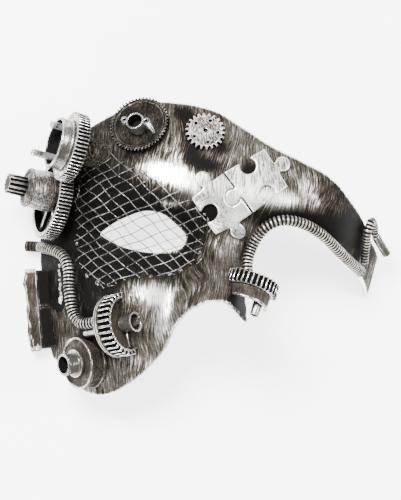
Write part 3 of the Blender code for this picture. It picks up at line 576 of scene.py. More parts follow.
def smooth_line(knots, resolution=6):
    """The plan points of a smooth closed line through knots, some of them sharp."""
    line = bpy.data.curves.new("line", "CURVE")
    line.dimensions = "3D"
    line.resolution_u = resolution
    run = line.splines.new("BEZIER")
    run.use_cyclic_u = True
    run.bezier_points.add(len(knots) - 1)
    for knot, (x, y, sharp) in zip(run.bezier_points, knots):
        knot.co = (x, y, 0)
        knot.handle_left_type = knot.handle_right_type = "VECTOR" if sharp else "AUTO"
    shape = bpy.data.objects.new("line", line)
    bpy.context.scene.collection.objects.link(shape)
    bpy.context.view_layer.update()
    points = [(v.co.x, v.co.y) for v in shape.to_mesh().vertices]
    shape.to_mesh_clear()
    bpy.data.objects.remove(shape)
    return points


def inside_by(outline, x, y):
    """How far plan positions lie inside a closed line; negative outside it."""
    start = np.array(outline)
    along = np.roll(start, -1, axis=0) - start
    results = []
    for part in np.array_split(np.stack([x, y], -1), max(1, len(x) // 4000)):
        away = part[:, None] - start
        share = np.clip((away * along).sum(-1) / (along**2).sum(-1), 0, 1)
        gap = np.linalg.norm(away - share[..., None] * along, axis=-1).min(1)
        over = start[:, 1] > part[:, 1:]
        crossing = over != np.roll(over, -1, axis=1)
        climb = np.where(along[:, 1] == 0, 1, along[:, 1])
        where = start[:, 0] + away[..., 1] * along[:, 0] / climb
        hits = (crossing & (part[:, :1] < where)).sum(1)
        results.append(np.where(hits % 2 == 1, gap, -gap))
    return np.concatenate(results)


print("inside a unit square", inside_by([(0, 0), (1, 0), (1, 1), (0, 1)], [0.5], [0.2]))


# %% Sheets on the skin
def parts_of(geometry, kind):
    return [part for part in geometry if isinstance(part, kind)]


def sheet(span, step, keep, low, high, soft):
    """A sheet on the skin, cut to a measure, between two heights, with rounded edges."""
    (left, right), (bottom, top) = span
    bm = bmesh.new()
    wide, tall = right - left, top - bottom
    spread = Matrix.Translation((left + wide / 2, bottom + tall / 2, 0.0))
    bmesh.ops.create_grid(bm, x_segments=round(wide / step), y_segments=round(tall / step),
                          size=0.5, matrix=spread @ Matrix.Diagonal((wide, tall, 1.0, 1.0)))
    cut(bm, lambda at: keep(plan_x(at[:, 0], at[:, 1]), at[:, 1]))
    flat = np.array([v.co for v in bm.verts])
    x = plan_x(flat[:, 0], flat[:, 1])
    y = flat[:, 1]
    room = np.clip(keep(x, y), 0.0, soft) / soft
    drop = soft * (1 - np.sqrt(1 - (1 - room) ** 2))
    lower, upper = skin(x, y, low + drop), skin(x, y, high - drop)
    number = bm.verts.layers.int.new("number")
    for index, vert in enumerate(bm.verts):
        vert[number] = index
    raised = bmesh.ops.extrude_face_region(bm, geom=bm.faces[:])["geom"]
    tops = set(parts_of(raised, bmesh.types.BMVert))
    for vert in bm.verts:
        vert.co = (upper if vert in tops else lower)[vert[number]]
    for part in bm.faces:
        part.material_index = int(not any(vert in tops for vert in part.verts))
    return bm


print("sheets ready")

# %% [markdown]
# ## The shell
#
# The shell is one sheet of the head's skin, under two millimetres thick. Its outline runs over the
# forehead, out along the arm and back under the brow, round the nose and down the cheek. The
# silver lies thickest on the brow, the arm and the cheek, and hardly at all round the eye. Part of
# the brightness on the brow, the arm and the rims of the eye is a painted highlight, and the dark
# round the cheek gear and the boss, on the nose wing and beside the brow hose is painted shade.

# %% The shell
WALL = 1.8
OUTLINE = (
    (-92, 2, 1), (-74, 25, 0), (-66, 36.5, 0), (-55.2, 45.2, 0), (-42.5, 52, 0), (-25.8, 53.8, 0),
    (-11, 52, 0), (0, 46.8, 0), (13.5, 39.9, 0), (27, 35.6, 0), (41.4, 31.1, 0), (52.3, 23.8, 0),
    (61.9, 17.5, 0), (69, 11.2, 0), (92, 2, 1), (92, -24, 1), (74.5, -12.5, 0), (64.8, -4.5, 0),
    (55.4, -2.4, 0), (41.5, 5, 0), (26.5, 8.2, 0), (13.4, 3.5, 0), (11.2, -4, 0), (10.6, -13, 0),
    (13.3, -34.8, 1), (6, -31.8, 0), (-3.4, -30.2, 0), (-8.5, -31.5, 0), (-13.2, -35.3, 0),
    (-18.4, -49.7, 0), (-23.3, -57.7, 0), (-30, -65.4, 0), (-40.8, -71.3, 0), (-50, -68.5, 0),
    (-60.5, -57, 0), (-92, -34, 1),
)
EYE_HOLE = ((-52, -4.2, 1), (-42.4, 2.6, 0), (-32, 6, 0), (-22.5, 2.8, 0), (-16.2, -4.6, 0),
            (-24.5, -8.6, 0), (-36, -9, 0), (-46, -6.8, 0))
STRAP_HOLE_AT = (-63.2, -32.2)
STRAP_HOLE_RADIUS = 1.9
outline = smooth_line(OUTLINE)
eye_hole = smooth_line(EYE_HOLE)
strap_hole = on_skin(*STRAP_HOLE_AT)


def shell_measure(x, y):
    """How far plan positions lie inside the shell's edge and outside its holes."""
    z = face(x, y)
    hole = np.linalg.norm(np.stack([x, y, z], -1) - np.array(strap_hole), axis=-1)
    hole = hole - STRAP_HOLE_RADIUS
    inner = np.minimum(inside_by(outline, x, y), -inside_by(eye_hole, x, y))
    return np.minimum(np.minimum(inner, hole), z + FLOOR_DEPTH)


# Plan position, spread along X and Y, and how much silver more or less. Besides silver paint,
# some spots are painted light: painted highlights in a band over the brow and the arm and on the
# rims above and below the eye, and painted shade round the cheek gear and the boss, on the nose
# wing and along the arm beside the brow hose
SILVER_SHEEN_AND_SHADE_SPOTS = (
    (-28, 21, 9, 4.5, 0.6), (-36, 23, 5, 3.5, 0.3), (-18, 16.5, 6, 3.5, 0.5),
    (-25, 30, 5, 7, 0.12), (2, 34, 8, 8, 0.1), (14, 17, 13, 4.5, 0.6), (30, 22, 9, 4, 0.1),
    (48, 27, 10, 8, -0.12), (-3, 11, 5, 6, 0.5), (-1, -6, 9, 9, 0.25), (-26, -8.5, 9, 0.9, 0.9),
    (-26, 9.5, 5, 1.3, 0.6), (-27, -27, 8, 5, 0.5), (-20, -38, 5, 12, 0.25),
    (-30, -60, 12, 10, 0.05), (-33, -4, 22, 14, -0.8), (-50, 0, 12, 22, -0.45),
    (-24, 48, 3.5, 3, -0.5), (-22, 38, 3, 6, -0.4), (-19, 30, 3.5, 4, -0.5),
    (-13, 27.5, 4, 2.5, -0.5), (-58, 34, 12, 14, -0.12), (-8, 36, 4, 4, -0.3),
    (60, 15, 14, 9, -0.35), (9, -31, 6, 8, -0.9), (32, 10, 26, 4, -0.6), (-8, 9, 3.5, 3.5, -0.8),
    (6, 27.5, 3.5, 3.5, -0.7), (-70, -20, 8, 30, -0.3), (10, -12, 5, 12, -0.15),
    (-16, -50, 4, 8, 0.1), (-48, -32, 8, 12, -0.3), (-45, -48, 7, 7, -0.5),
    (-46, 47, 10, 6, -0.15),
)
BARE = -0.3  # no silver at all, as in the ring of black left round the strap hole
BARE_RING = 5.0


# The shell's silver paint with the painted highlights and painted shade of the spots, brighter on
# the rim, and bare round the strap hole
def shell_silver_sheen_and_shade(places):
    amount = np.full(len(places), 0.38)
    for x, y, across, along, more in SILVER_SHEEN_AND_SHADE_SPOTS:
        amount += more * bell(places[:, 0] - x, across) * bell(places[:, 1] - y, along)
    on_edge = bell(shell_measure(places[:, 0], places[:, 1]), 0.7)
    amount = np.clip(amount, BARE, 0.86) + 0.35 * on_edge
    return np.where(np.linalg.norm(places - np.array(strap_hole), axis=1) < BARE_RING, BARE, amount)


bm = sheet(((-RUN[-1], RUN[-1]), (-76.0, 58.0)), step=1.1, keep=shell_measure,
           low=-WALL, high=0.0, soft=0.7)
piece("shell_skin", bm, shell_finish, "shell", silver=shell_silver_sheen_and_shade, brush=run_over,
      sharp=60.0, inner=(inside_finish,))

# %% [markdown]
# ## The wire net
#
# A piece of black net stands over the eye, glued down round its edge. It is two families of thin
# wires that cross: one falls towards the nose, the other climbs. They are laid on the smooth face,
# over the hollow of the socket, and waver a little as soft net does.

# %% Round bars along a line
def seats_along(points, radii):
    """A seat at each point of a line, as wide as the bar there, none twisted against the last."""
    side = None
    seats = []
    for point, way, radius in zip(points, np.gradient(np.asarray(points, float), axis=0), radii):
        way = Vector(way).normalized()
        side = side or way.orthogonal()
        side = (side - way * side.dot(way)).normalized()
        axes = Matrix((side.cross(way) * radius, side * radius, way)).transposed().to_4x4()
        seats.append(Matrix.Translation(point) @ axes)
    return seats


def bar(bm, points, radii, sides=8):
    """A round bar drawn out ring by ring along a line, with its own radius at each point."""
    seats = seats_along(points, radii)
    ring = bmesh.ops.create_circle(bm, segments=sides, radius=1.0, matrix=seats[0])["verts"]
    edges = list({edge for vert in ring for edge in vert.link_edges})
    rings, ends = [ring], [edges]
    for seat, following in zip(seats, seats[1:]):
        grown = bmesh.ops.extrude_edge_only(bm, edges=edges)["geom"]
        edges = [edge for edge in parts_of(grown, bmesh.types.BMEdge) if edge.is_boundary]
        rings.append(parts_of(grown, bmesh.types.BMVert))
        bmesh.ops.transform(bm, matrix=following @ seat.inverted(), verts=rings[-1])
    ends.append(edges)
    caps = [bmesh.ops.edgeloop_fill(bm, edges=end)["faces"][0] for end in ends]
    return rings, caps


print("seats on a short bend", len(seats_along([(0, 0, 0), (1, 0, 0), (2, 1, 0)], [0.2] * 3)))

# %% The wire net
NET_OUTLINE = [(-51.7, 27.6), (-60.6, 21.6), (-61.6, 9.1), (-59.4, -5.1), (-56.8, -17.5),
               (-49.8, -25.0), (-43.0, -25.9), (-28.4, -19.9), (-12.6, -14.7), (-9.7, -6.9),
               (-9.1, 5.2), (-19.9, 13.2), (-28.8, 18.9), (-43.5, 24.0)]
NET_PITCH = 4.1
NET_ASIDE = 35.0  # its middle is this far aside of the nose
WIRE_RADIUS = 0.205
bm = bmesh.new()
chance = np.random.default_rng(7)
middle = np.array([-float(np.interp(NET_ASIDE / HEAD_HALF_WIDTH, SHARES, RUN)), -1.0])
for degrees, lift in ((-36.0, 0.95), (27.0, 1.35)):
    way = np.array([math.cos(math.radians(degrees)), math.sin(math.radians(degrees))])
    across = np.array([-way[1], way[0]])
    for line in range(-16, 17):
        steps = np.arange(-60.0, 60.0, 1.0)
        waver = 0.35 * np.sin(steps * 0.16 + line * 1.7) + 0.25 * np.sin(steps * 0.41 + line)
        run = middle + across * (line * NET_PITCH) + way * steps[:, None]
        run = run + across * waver[:, None]
        x, y = plan_x(run[:, 0], run[:, 1]), run[:, 1]
        room = inside_by(NET_OUTLINE, x, y) + chance.uniform(-0.4, 1.2)
        kept = np.nonzero(room > 0)[0]
        if len(kept) < 4:
            continue
        kept = np.arange(kept[0], kept[-1] + 1)
        rise = lift + 0.15 * np.sin(kept * 0.9)
        bar(bm, skin(x[kept], y[kept], rise, smooth_face), [WIRE_RADIUS] * len(kept), sides=6)
piece("wire_net", bm, wire_finish, "eye_net", sharp=80.0)

# %% [markdown]
# The net's edge is held by blobs of hot glue, painted over with the rest. Each is a ball pressed
# flat on the skin, longer than it is wide. A thin run of bare white glue holds the cheek hose.

# %% Glue round the net and along the hose
GLUE_HEIGHT = 0.75


def glue_blob(bm, place, before, half_length, half_width):
    """A blob of glue on the skin, longer in the direction from the point before."""
    x, y = place
    normal = skin_normal(x, y)
    along = Vector((x - before[0], y - before[1], 0.0))
    along = (along - normal * along.dot(normal)).normalized()
    axes = Matrix((along, normal.cross(along), normal)).transposed().to_4x4()
    size = Matrix.Diagonal((half_length, half_width, GLUE_HEIGHT, 1.0))
    at = Matrix.Translation(on_skin(x, y, GLUE_HEIGHT / 3))
    bmesh.ops.create_icosphere(bm, subdivisions=2, radius=1.0, matrix=at @ axes @ size)


bm = bmesh.new()
edge_line = smooth_line([(x, y, 0) for x, y in NET_OUTLINE], 4)
for index, (x, y) in enumerate(edge_line):
    if chance.random() < 0.5 or y > 20:  # none shows under the brow
        continue
    place = (x + chance.uniform(-1.2, 1.2), y + chance.uniform(-1.2, 1.2))
    glue_blob(bm, place, edge_line[index - 1], chance.uniform(0.8, 2.2), chance.uniform(0.4, 0.9))
piece("net_glue", bm, glue_finish, sharp=80.0)
bm = bmesh.new()
hose_side = ((-64.9, -16.5), (-64.3, -20.5), (-63.5, -24.5), (-62.7, -28.5), (-61.8, -32.0))
for before, here in zip(hose_side, hose_side[1:]):
    for part in (0.3, 0.8):
        place = [b + (h - b) * part + chance.uniform(-0.25, 0.25) for b, h in zip(before, here)]
        glue_blob(bm, place, before, chance.uniform(0.4, 1.1), chance.uniform(0.2, 0.35))
piece("hose_glue", bm, white_glue, sharp=80.0)

# %% [markdown]
# ## Turned forms and toothed plates
#
# Cups, hubs, drums and tubes are turned: a profile is spun once round. Their corners are rounded
# in the profile, so light catches every edge. Gears are cut from plate: an outline and its holes
# are filled, drawn up to a thickness, and their edges softened.

# %% Turning
def seated(origin, axis, up=(0, 1, 0)):
    """Own Z along the axis, own Y towards up, at a point."""
    z = Vector(axis).normalized()
    y = Vector(up)
    y = (y - z * y.dot(z)).normalized()
    return Matrix.Translation(origin) @ Matrix((y.cross(z), y, z)).transposed().to_4x4()


def rounded(profile, radius):
    """A profile with three points in place of each corner."""
    points = [Vector(p) for p in profile]
    result = [points[0]]
    for before, corner, after in zip(points, points[1:], points[2:]):
        back, on = before - corner, after - corner
        reach = min(radius, back.length * 0.45, on.length * 0.45)
        first, last = corner + back.normalized() * reach, corner + on.normalized() * reach
        result += [first, (first + last) / 4 + corner / 2, last]
    return result + [points[-1]]


def turn(bm, profile, at, soft=0.3, steps=72):
    """Spins a profile of radius and height once round the axis of a seat."""
    old = set(bm.verts)
    points = [bm.verts.new((p[0], 0, p[1])) for p in rounded(profile, soft)]
    edges = [bm.edges.new(pair) for pair in zip(points, points[1:])]
    bmesh.ops.spin(bm, geom=points + edges, axis=(0, 0, 1), cent=(0, 0, 0), angle=math.tau,
                   steps=steps, use_merge=True)
    bmesh.ops.transform(bm, matrix=at, verts=[vert for vert in bm.verts if vert not in old])


def turned(name, node, look, profile, at, *fitted, soft=0.3, steps=72, **finish):
    """A turned piece in place of a solid, cut to each measure that it is fitted to."""
    bm = bmesh.new()
    turn(bm, profile, at, soft, steps)
    for keep in fitted:
        cut(bm, keep)
    piece(name, bm, look, node, **finish)


print("a rounded corner", rounded([(0, 0), (2, 0), (2, 2)], 0.3)[1:4])


# %% Cutting plate
def ring_of(count, radius, centre=(0.0, 0.0)):
    return [(centre[0] + radius * math.cos(i / count * math.tau),
             centre[1] + radius * math.sin(i / count * math.tau)) for i in range(count)]


def teeth_of(teeth, tip, root, land=0.24, flank=0.16):
    """A gear's outline: flat lands and roots between sloping flanks."""
    points = []
    for tooth in range(teeth):
        for radius, turn_by in ((root, -flank), (tip, 0.0), (tip, land), (root, land + flank)):
            angle = (tooth + turn_by) / teeth * math.tau
            points.append((radius * math.cos(angle), radius * math.sin(angle)))
    return points


CORNER = math.radians(40)


def plate(bm, outlines, low, high, at, soft=0.18, root=0.0):
    """Plate cut to an outline with holes, drawn up between two heights and softened.

    A gear gives the radius of its roots, and the gaps between its teeth stay black with painted
    shade.
    """
    rub = bm.faces.layers.int.get("rub") or bm.faces.layers.int.new("rub")
    old_faces, old_verts = set(bm.faces), set(bm.verts)
    edges = []
    for points in outlines:
        verts = [bm.verts.new((x, y, low)) for x, y in points]
        edges += [bm.edges.new((verts[i - 1], verts[i])) for i in range(len(verts))]
    filled = bmesh.ops.triangle_fill(bm, edges=edges, use_beauty=True)
    flat = parts_of(filled["geom"], bmesh.types.BMFace)
    raised = bmesh.ops.extrude_face_region(bm, geom=flat)["geom"]
    tops = parts_of(raised, bmesh.types.BMVert)
    bmesh.ops.translate(bm, verts=tops, vec=(0, 0, high - low))
    own = [part for part in bm.faces if part not in old_faces]
    bmesh.ops.recalc_face_normals(bm, faces=own)

    def in_gap(part):
        """A side face near the circle of the roots."""
        reach = math.hypot(*part.calc_center_median().xy)
        return abs(part.normal.z) < 0.5 and 0.75 * root < reach < root + 0.9

    for part in own:
        part[rub] = GAP_IN_SHADE if in_gap(part) else FLAT
    corners = {edge for part in own for edge in part.edges if edge.calc_face_angle() > CORNER}
    softened = bmesh.ops.bevel(bm, geom=list(corners), offset=soft, segments=1, profile=0.5,
                               affect="EDGES", material=-1, clamp_overlap=True)
    for part in softened["faces"]:
        part[rub] = GAP_IN_SHADE if in_gap(part) else EDGE
    own_verts = [vert for vert in bm.verts if vert not in old_verts]
    bmesh.ops.transform(bm, matrix=at, verts=own_verts)


print("a tooth of the cheek gear", [round(v, 1) for v in teeth_of(30, 13.2, 11.5)[1]])


# %% Mouths and lips
def mouth_of(at, radius, below, lip=None):
    """Tells which points lie in the mouth of a turned form, 1, and which on its lip, 2."""
    back = at.inverted()

    def inside(point):
        own = back @ point
        if own.z < below and math.hypot(own.x, own.y) < radius:
            return 1
        return 2 if lip is not None and own.z > lip else 0

    return inside


trial = mouth_of(Matrix(), 1.0, 0.5, 2.0)
print("in the mouth, on the wall, on the lip", [trial(Vector((0, 0, z))) for z in (0, 1, 3)])

# %% [markdown]
# ## The temple gear and its cup
#
# On the temple sits a thick gear on edge, and on it an open cup like the case of a pocket watch. A
# double line runs round its mouth. Two thin tubes stand in it, one long and one short.

# %% The temple gear and its cup
TEMPLE = seated((-65.5, 29.1, -10.2), (-0.97, 0.09, 0.23))
TEMPLE_THICK = 5.4
bm = bmesh.new()
teeth = teeth_of(54, 14.7, 13.4, 0.3, 0.14)
plate(bm, [teeth, ring_of(54, 10.0)], 0.0, TEMPLE_THICK, TEMPLE, root=13.4)
turn(bm, [(0, 4.6), (11.4, 4.6), (11.4, 0.8), (0, 0.8)], TEMPLE)
cut(bm, above_skin)
piece("temple_gear_cast", bm, bright_finish, "temple_gear")
turned("temple_foot", "temple_gear", shell_finish, [(0, 0.6), (6.0, 0.6), (6.0, -15.0), (0, -15.0)],
       TEMPLE, above_skin, silver=evenly(0.28))

CUP_LOW = TEMPLE_THICK + GAP
CUP_HIGH = CUP_LOW + 5.1
turned("temple_cup_cast", "temple_cup", bright_finish, [
    (0, CUP_LOW + 1.0), (9.6, CUP_LOW + 1.0), (9.6, CUP_HIGH - 0.5), (9.9, CUP_HIGH - 0.1),
    (10.2, CUP_HIGH), (10.4, CUP_HIGH - 0.45), (10.7, CUP_HIGH - 0.1), (11.0, CUP_HIGH - 0.3),
    (11.0, CUP_HIGH - 1.0), (10.7, CUP_HIGH - 1.2), (10.7, CUP_LOW + 0.8), (11.1, CUP_LOW + 0.5),
    (11.1, CUP_LOW), (0, CUP_LOW)], TEMPLE, soft=0.12, steps=96,
       inside=mouth_of(TEMPLE, 9.8, CUP_HIGH - 0.3))

for name, node, aside, out in (("temple_tube_long", "temple_pin_long", (-4.6, -5.6), 7.0),
                               ("temple_tube_short", "temple_pin_short", (0.0, 7.0), 2.9)):
    foot, mouth = CUP_LOW + 1.0 + GAP, CUP_HIGH + out
    seat = TEMPLE @ Matrix.Translation((*aside, 0))
    turned(name, node, shell_finish, [
        (0, mouth - 2.5), (1.1, mouth - 2.5), (1.1, mouth), (1.65, mouth), (1.65, mouth - 1.2),
        (1.5, mouth - 1.3), (1.5, foot), (0, foot)], seat, soft=0.12, steps=28,
           silver=evenly(0.75), inside=mouth_of(seat, 1.15, mouth - 0.2))

# %% [markdown]
# ## The wheel, its barrel and its pinion
#
# Below the cup a thin-spoked wheel with very fine teeth lies against the side of the head. A plain
# barrel stands on it, and a small pinion with long teeth on the barrel.

# %% The wheel
WHEEL = seated((-68.7, 9.0, -32.9), (-0.965, 0.03, 0.26))
WHEEL_THICK = 5.8
WEB_TOP = WHEEL_THICK - 1.8
SPOKES = 5
FIRST_SPOKE = -123.0


def swung(points, degrees):
    """Plan points turned about the middle."""
    swing = Matrix.Rotation(math.radians(degrees), 2)
    return [tuple(swing @ Vector(point)) for point in points]


bm = bmesh.new()
teeth = teeth_of(66, 16.8, 15.7, 0.3, 0.14)
plate(bm, [teeth, ring_of(66, 14.4)], 0.0, WHEEL_THICK, WHEEL, soft=0.14, root=15.7)
turn(bm, [(0, WEB_TOP), (5.0, WEB_TOP), (5.0, 0.5), (4.5, 0.0), (4.5, -15.0), (0, -15.0)], WHEEL)
turn(bm, [(14.6, WEB_TOP - 1.6), (3.0, WEB_TOP - 1.6), (3.0, WEB_TOP - 2.6), (14.6, WEB_TOP - 2.6),
          (14.6, WEB_TOP - 1.6)], WHEEL)
for spoke in range(SPOKES):
    rod = swung([(14.8, -0.7), (14.8, 0.7), (4.0, 1.0), (4.0, -1.0)],
                FIRST_SPOKE + spoke * 360.0 / SPOKES)
    plate(bm, [rod], WEB_TOP - 2.2, WEB_TOP, WHEEL)
cut(bm, above_skin)


def seen_from(at, places):
    """Places as X, Y and height over a seat."""
    return (places - np.array(at.translation)) @ np.array(at.to_3x3())


def clear_of_temple(places):
    """How far points stand clear of the disc in which the temple gear sits."""
    own = seen_from(TEMPLE, places)
    beyond = np.hypot(own[:, 0], own[:, 1]) - 14.9
    return np.maximum(beyond, np.maximum(-0.2 - own[:, 2], own[:, 2] - TEMPLE_THICK - 0.2))


cut(bm, clear_of_temple)
piece("wheel_cast", bm, bright_finish, "wheel", inner=(black_finish,),
      inside=mouth_of(WHEEL, 14.45, WEB_TOP - 0.8))

# %% The barrel and the pinion
BARREL = WHEEL @ Matrix.Translation((1.5, 3.0, 0.0))
low = WEB_TOP + GAP
high = low + 11.6


def barrel_silver_and_highlight(places):
    """Silver rubbed on thickly round the middle of the barrel, which is also a painted highlight
    there, with the ends darker.
    """
    middle = low + 0.55 * (high - low)
    return 0.95 * bell(seen_from(BARREL, places)[:, 2] - middle, 5.0) + 0.05


turned("barrel_turned", "barrel", shell_finish, [
    (0, high - 0.5), (6.9, high - 0.5), (7.1, high), (8.2, high), (8.5, high - 0.6),
    (8.3, high - 1.4), (8.5, low + 1.5), (8.5, low), (0, low)], BARREL, soft=0.25, steps=96,
       silver=barrel_silver_and_highlight)

low = high + GAP
high = low + 8.4
bm = bmesh.new()
plate(bm, [teeth_of(12, 4.4, 3.2, 0.34, 0.12)], low, high, BARREL, soft=0.22, root=3.2)
turn(bm, [(0, high + 0.02), (1.6, high + 0.02), (1.6, high - 1.0)], BARREL, steps=24)
piece("pinion_cast", bm, dark_finish, "pinion")

# %% [markdown]
# ## The gears on the forehead
#
# A dished gear with a ring of fine teeth lies on the forehead, with a leaning tube between two
# eyelets. Beside it lies a flat gear with five small holes and a raised ring at its centre.

# %% The gears on the forehead
FOREHEAD_SEAT = (-41.0, 40.7)
FOREHEAD = seated(on_skin(*FOREHEAD_SEAT, 2 * GAP), skin_normal(*FOREHEAD_SEAT))
bm = bmesh.new()
teeth = teeth_of(50, 12.7, 11.7, 0.34, 0.16)
plate(bm, [teeth, ring_of(50, 10.6)], 0.0, 2.6, FOREHEAD, soft=0.22, root=11.7)
turn(bm, [(0, 1.5), (9.6, 1.5), (10.7, 2.2), (10.7, 0.6), (6.3, 0.6), (6.3, -6.0), (0, -6.0)],
     FOREHEAD, steps=72)
cut(bm, above_skin)
piece("forehead_gear_cast", bm, dark_finish, "forehead_gear", silver=evenly(-0.14))

HUB = FOREHEAD @ Matrix.Translation((0.6, -2.0, 0.0))
low = 2.6 + GAP
high = low + 5.8
bm = bmesh.new()
turn(bm, [(0, low + 0.3), (3.0, low + 0.3), (3.0, high - 0.3), (3.1, high), (3.65, high),
          (3.75, high - 0.3), (3.75, low), (0, low)], HUB, soft=0.1, steps=64)
mouths = [mouth_of(HUB, 3.05, high - 0.2)]
for side, base in ((-1, high - 2.4), (1, low)):
    eyelet = HUB @ Matrix.Translation((side * 4.84, 0.4, 0.0))
    mouths.append(mouth_of(eyelet, 0.85, high - 0.5))
    turn(bm, [(0.75, base), (0.75, high - 0.4), (1.45, high - 0.4), (1.5, base), (0.75, base)],
         eyelet, soft=0.1, steps=28)
rod = [HUB @ Vector((5.2, 0.0, high - 1.2)), HUB @ Vector((6.8, -1.4, high - 3.2)),
       HUB @ Vector((7.2, -2.0, 2.9))]
bar(bm, rod, [0.9, 0.85, 0.7], sides=12)
piece("forehead_hub_turned", bm, bright_finish, "forehead_hub",
      inside=lambda point: max(mouth(point) for mouth in mouths))

SMALL_SEAT = (-15.0, 41.0)
SMALL = seated(on_skin(*SMALL_SEAT, GAP), skin_normal(*SMALL_SEAT))
bm = bmesh.new()
holes = [ring_of(16, 0.8, centre) for centre in ring_of(5, 5.2)]
teeth = teeth_of(22, 8.3, 6.9)
plate(bm, [teeth, ring_of(24, 0.95)] + holes, 0.0, 1.6, SMALL, soft=0.2, root=6.9)
turn(bm, [(0.95, 1.5), (0.95, 2.0), (1.8, 2.0), (2.0, 1.5), (0.95, 1.5)], SMALL, soft=0.1,
     steps=32)
cut(bm, lambda places: above_skin(places, 0.1))
piece("small_gear_cast", bm, shell_finish, "small_gear", silver=evenly(0.60),
      inside=mouth_of(SMALL, 1.05, 1.9))

# %% [markdown]
# ## The cheek gear
#
# This gear stands on edge in the cheek: coarse teeth with dark gaps, a smooth collar behind, with
# a short stub beside the hose, and a dish with two blades and a hub that flares like a trumpet.

# %% The cheek gear
CHEEK_AXIS = Vector((0.69, 0.2, 0.70)).normalized()
CHEEK = seated((-35.6, -41.0, -8.7), CHEEK_AXIS)
CHEEK_THICK = 5.8
bm = bmesh.new()
teeth = teeth_of(32, 13.2, 11.5, 0.34, 0.08)
plate(bm, [teeth, ring_of(64, 10.8)], -CHEEK_THICK, 0.0, CHEEK, soft=0.2, root=11.5)
cut(bm, above_skin)
piece("cheek_gear_cast", bm, bright_finish, "cheek_gear")

back = -CHEEK_THICK - GAP
bm = bmesh.new()
turn(bm, [(0, back), (12.2, back), (13.3, back - 0.3), (13.3, back - 1.6), (0, back - 1.6)], CHEEK,
     soft=0.4, steps=96)
stub_end = on_skin(-49.9, -45.8, 1.9)
stub_length = back - 1.0 - (CHEEK.inverted() @ stub_end).z
turn(bm, [(0, 0), (1.45, 0), (1.45, stub_length), (0, stub_length)], seated(stub_end, CHEEK_AXIS),
     soft=0.2, steps=32)
print("stub", round(stub_length, 1), "mm long")
cut(bm, above_skin)
piece("cheek_collar_turned", bm, dark_finish, "cheek_collar", silver=evenly(0.1))

bm = bmesh.new()
turn(bm, [(4.2, 4.4), (3.7, 3.4), (3.4, 1.4), (3.4, -2.4), (9.6, -2.4), (10.2, -1.6),
          (10.45, -1.6), (10.45, -3.8), (2.6, -3.8), (2.6, 1.4), (3.3, 4.0), (3.4, 4.4),
          (4.2, 4.4)], CHEEK, soft=0.15)
for degrees in (62.0, -72.0):
    blade = swung([(3.2, -0.45), (9.8, -0.9), (9.8, 0.9), (3.2, 0.45)], degrees)
    plate(bm, [blade], -2.5, -0.9, CHEEK, soft=0.3)
cut(bm, above_skin)
piece("cheek_hub_turned", bm, dark_finish, "cheek_hub", inner=(inside_finish, bright_finish),
      inside=mouth_of(CHEEK, 3.35, 3.8, -0.5))

# %% [markdown]
# ## The boss low on the cheek
#
# A short drum with a thin bright lip, a sunk face and a flange behind, and a nozzle with one step.

# %% The boss
BOSS = seated((-52.9, -58.8, -26.5), (-0.84, -0.25, 0.47))
turned("boss_turned", "boss_drum", dark_finish, [
    (0, -0.5), (9.9, -0.5), (10.3, 0.0), (10.8, 0.0), (11.0, -0.3), (11.0, -1.3), (10.0, -1.6),
    (10.0, -6.2), (11.2, -6.5), (11.2, -7.5), (10.0, -7.8), (10.0, -12.0), (0, -12.0)],
       BOSS, above_skin, soft=0.15, steps=96, inner=(inside_finish, bright_finish),
       inside=mouth_of(BOSS, 0.0, 0.0, -0.4))

turned("nozzle_turned", "boss_nozzle", bright_finish, [
    (0, GAP + 0.4), (3.75, GAP + 0.4), (3.75, GAP + 6.6), (4.5, GAP + 6.6), (4.7, GAP + 6.3),
    (4.7, GAP + 5.2), (4.45, GAP + 5.0), (4.45, GAP + 1.6), (4.7, GAP + 1.2), (5.9, GAP + 1.1),
    (5.9, GAP), (0, GAP)], BOSS, soft=0.15, inside=mouth_of(BOSS, 3.8, GAP + 6.4))

# %% [markdown]
# ## The gear and cup on the nose
#
# Only the near half of this gear was cast, because the other half lies on the nose. Its cup opens
# downwards, and a tapered tube hangs out of it.

# %% The gear and cup on the nose
NOSE_GEAR = seated((12.6, -17.2, 5.6), (-0.22, -0.96, 0.17), (0, 0, 1))


def near_half(places):
    return seen_from(NOSE_GEAR, places)[:, 1] + 1.0


bm = bmesh.new()
teeth = teeth_of(33, 11.5, 9.9, 0.26, 0.1)
plate(bm, [teeth, ring_of(33, 7.0)], 0.0, 5.6, NOSE_GEAR, soft=0.2, root=9.9)
turn(bm, [(0, 5.3), (8.0, 5.3), (8.0, 0.3), (0, 0.3)], NOSE_GEAR)
cut(bm, near_half)
cut(bm, above_skin)
piece("nose_gear_cast", bm, bright_finish, "nose_gear")

low = 5.6 + GAP
rim = low + 5.3
turned("nose_cup_turned", "nose_cup", dark_finish, [
    (0, low + 1.0), (8.1, low + 1.0), (8.1, rim - 0.4), (8.4, rim), (8.7, rim - 0.4), (9.0, rim),
    (9.3, rim - 0.2), (9.3, rim - 0.9), (9.1, rim - 1.1), (9.1, low), (0, low)],
       NOSE_GEAR, near_half, above_skin, soft=0.1, steps=96, inner=(inside_finish, bright_finish),
       inside=mouth_of(NOSE_GEAR, 8.25, rim - 0.3, rim - 1.0))

foot, mouth = low + 1.0 + GAP, rim + 4.2
seat = NOSE_GEAR @ Matrix.Translation((4.6, 3.0, 0.0))
turned("nose_tube", "nose_pin", dark_finish, [
    (0, mouth - 2.0), (1.25, mouth - 2.0), (1.25, mouth), (1.8, mouth), (2.3, foot), (0, foot)],
       seat, soft=0.12, steps=32, inside=mouth_of(seat, 1.3, mouth - 0.2))

# %% [markdown]
# ## The jigsaw plates
#
# Two thin plates cut like jigsaw pieces cross the brow. One side has a knob out, the next a socket
# in, and the plates lock where a knob of one meets a socket of the other.

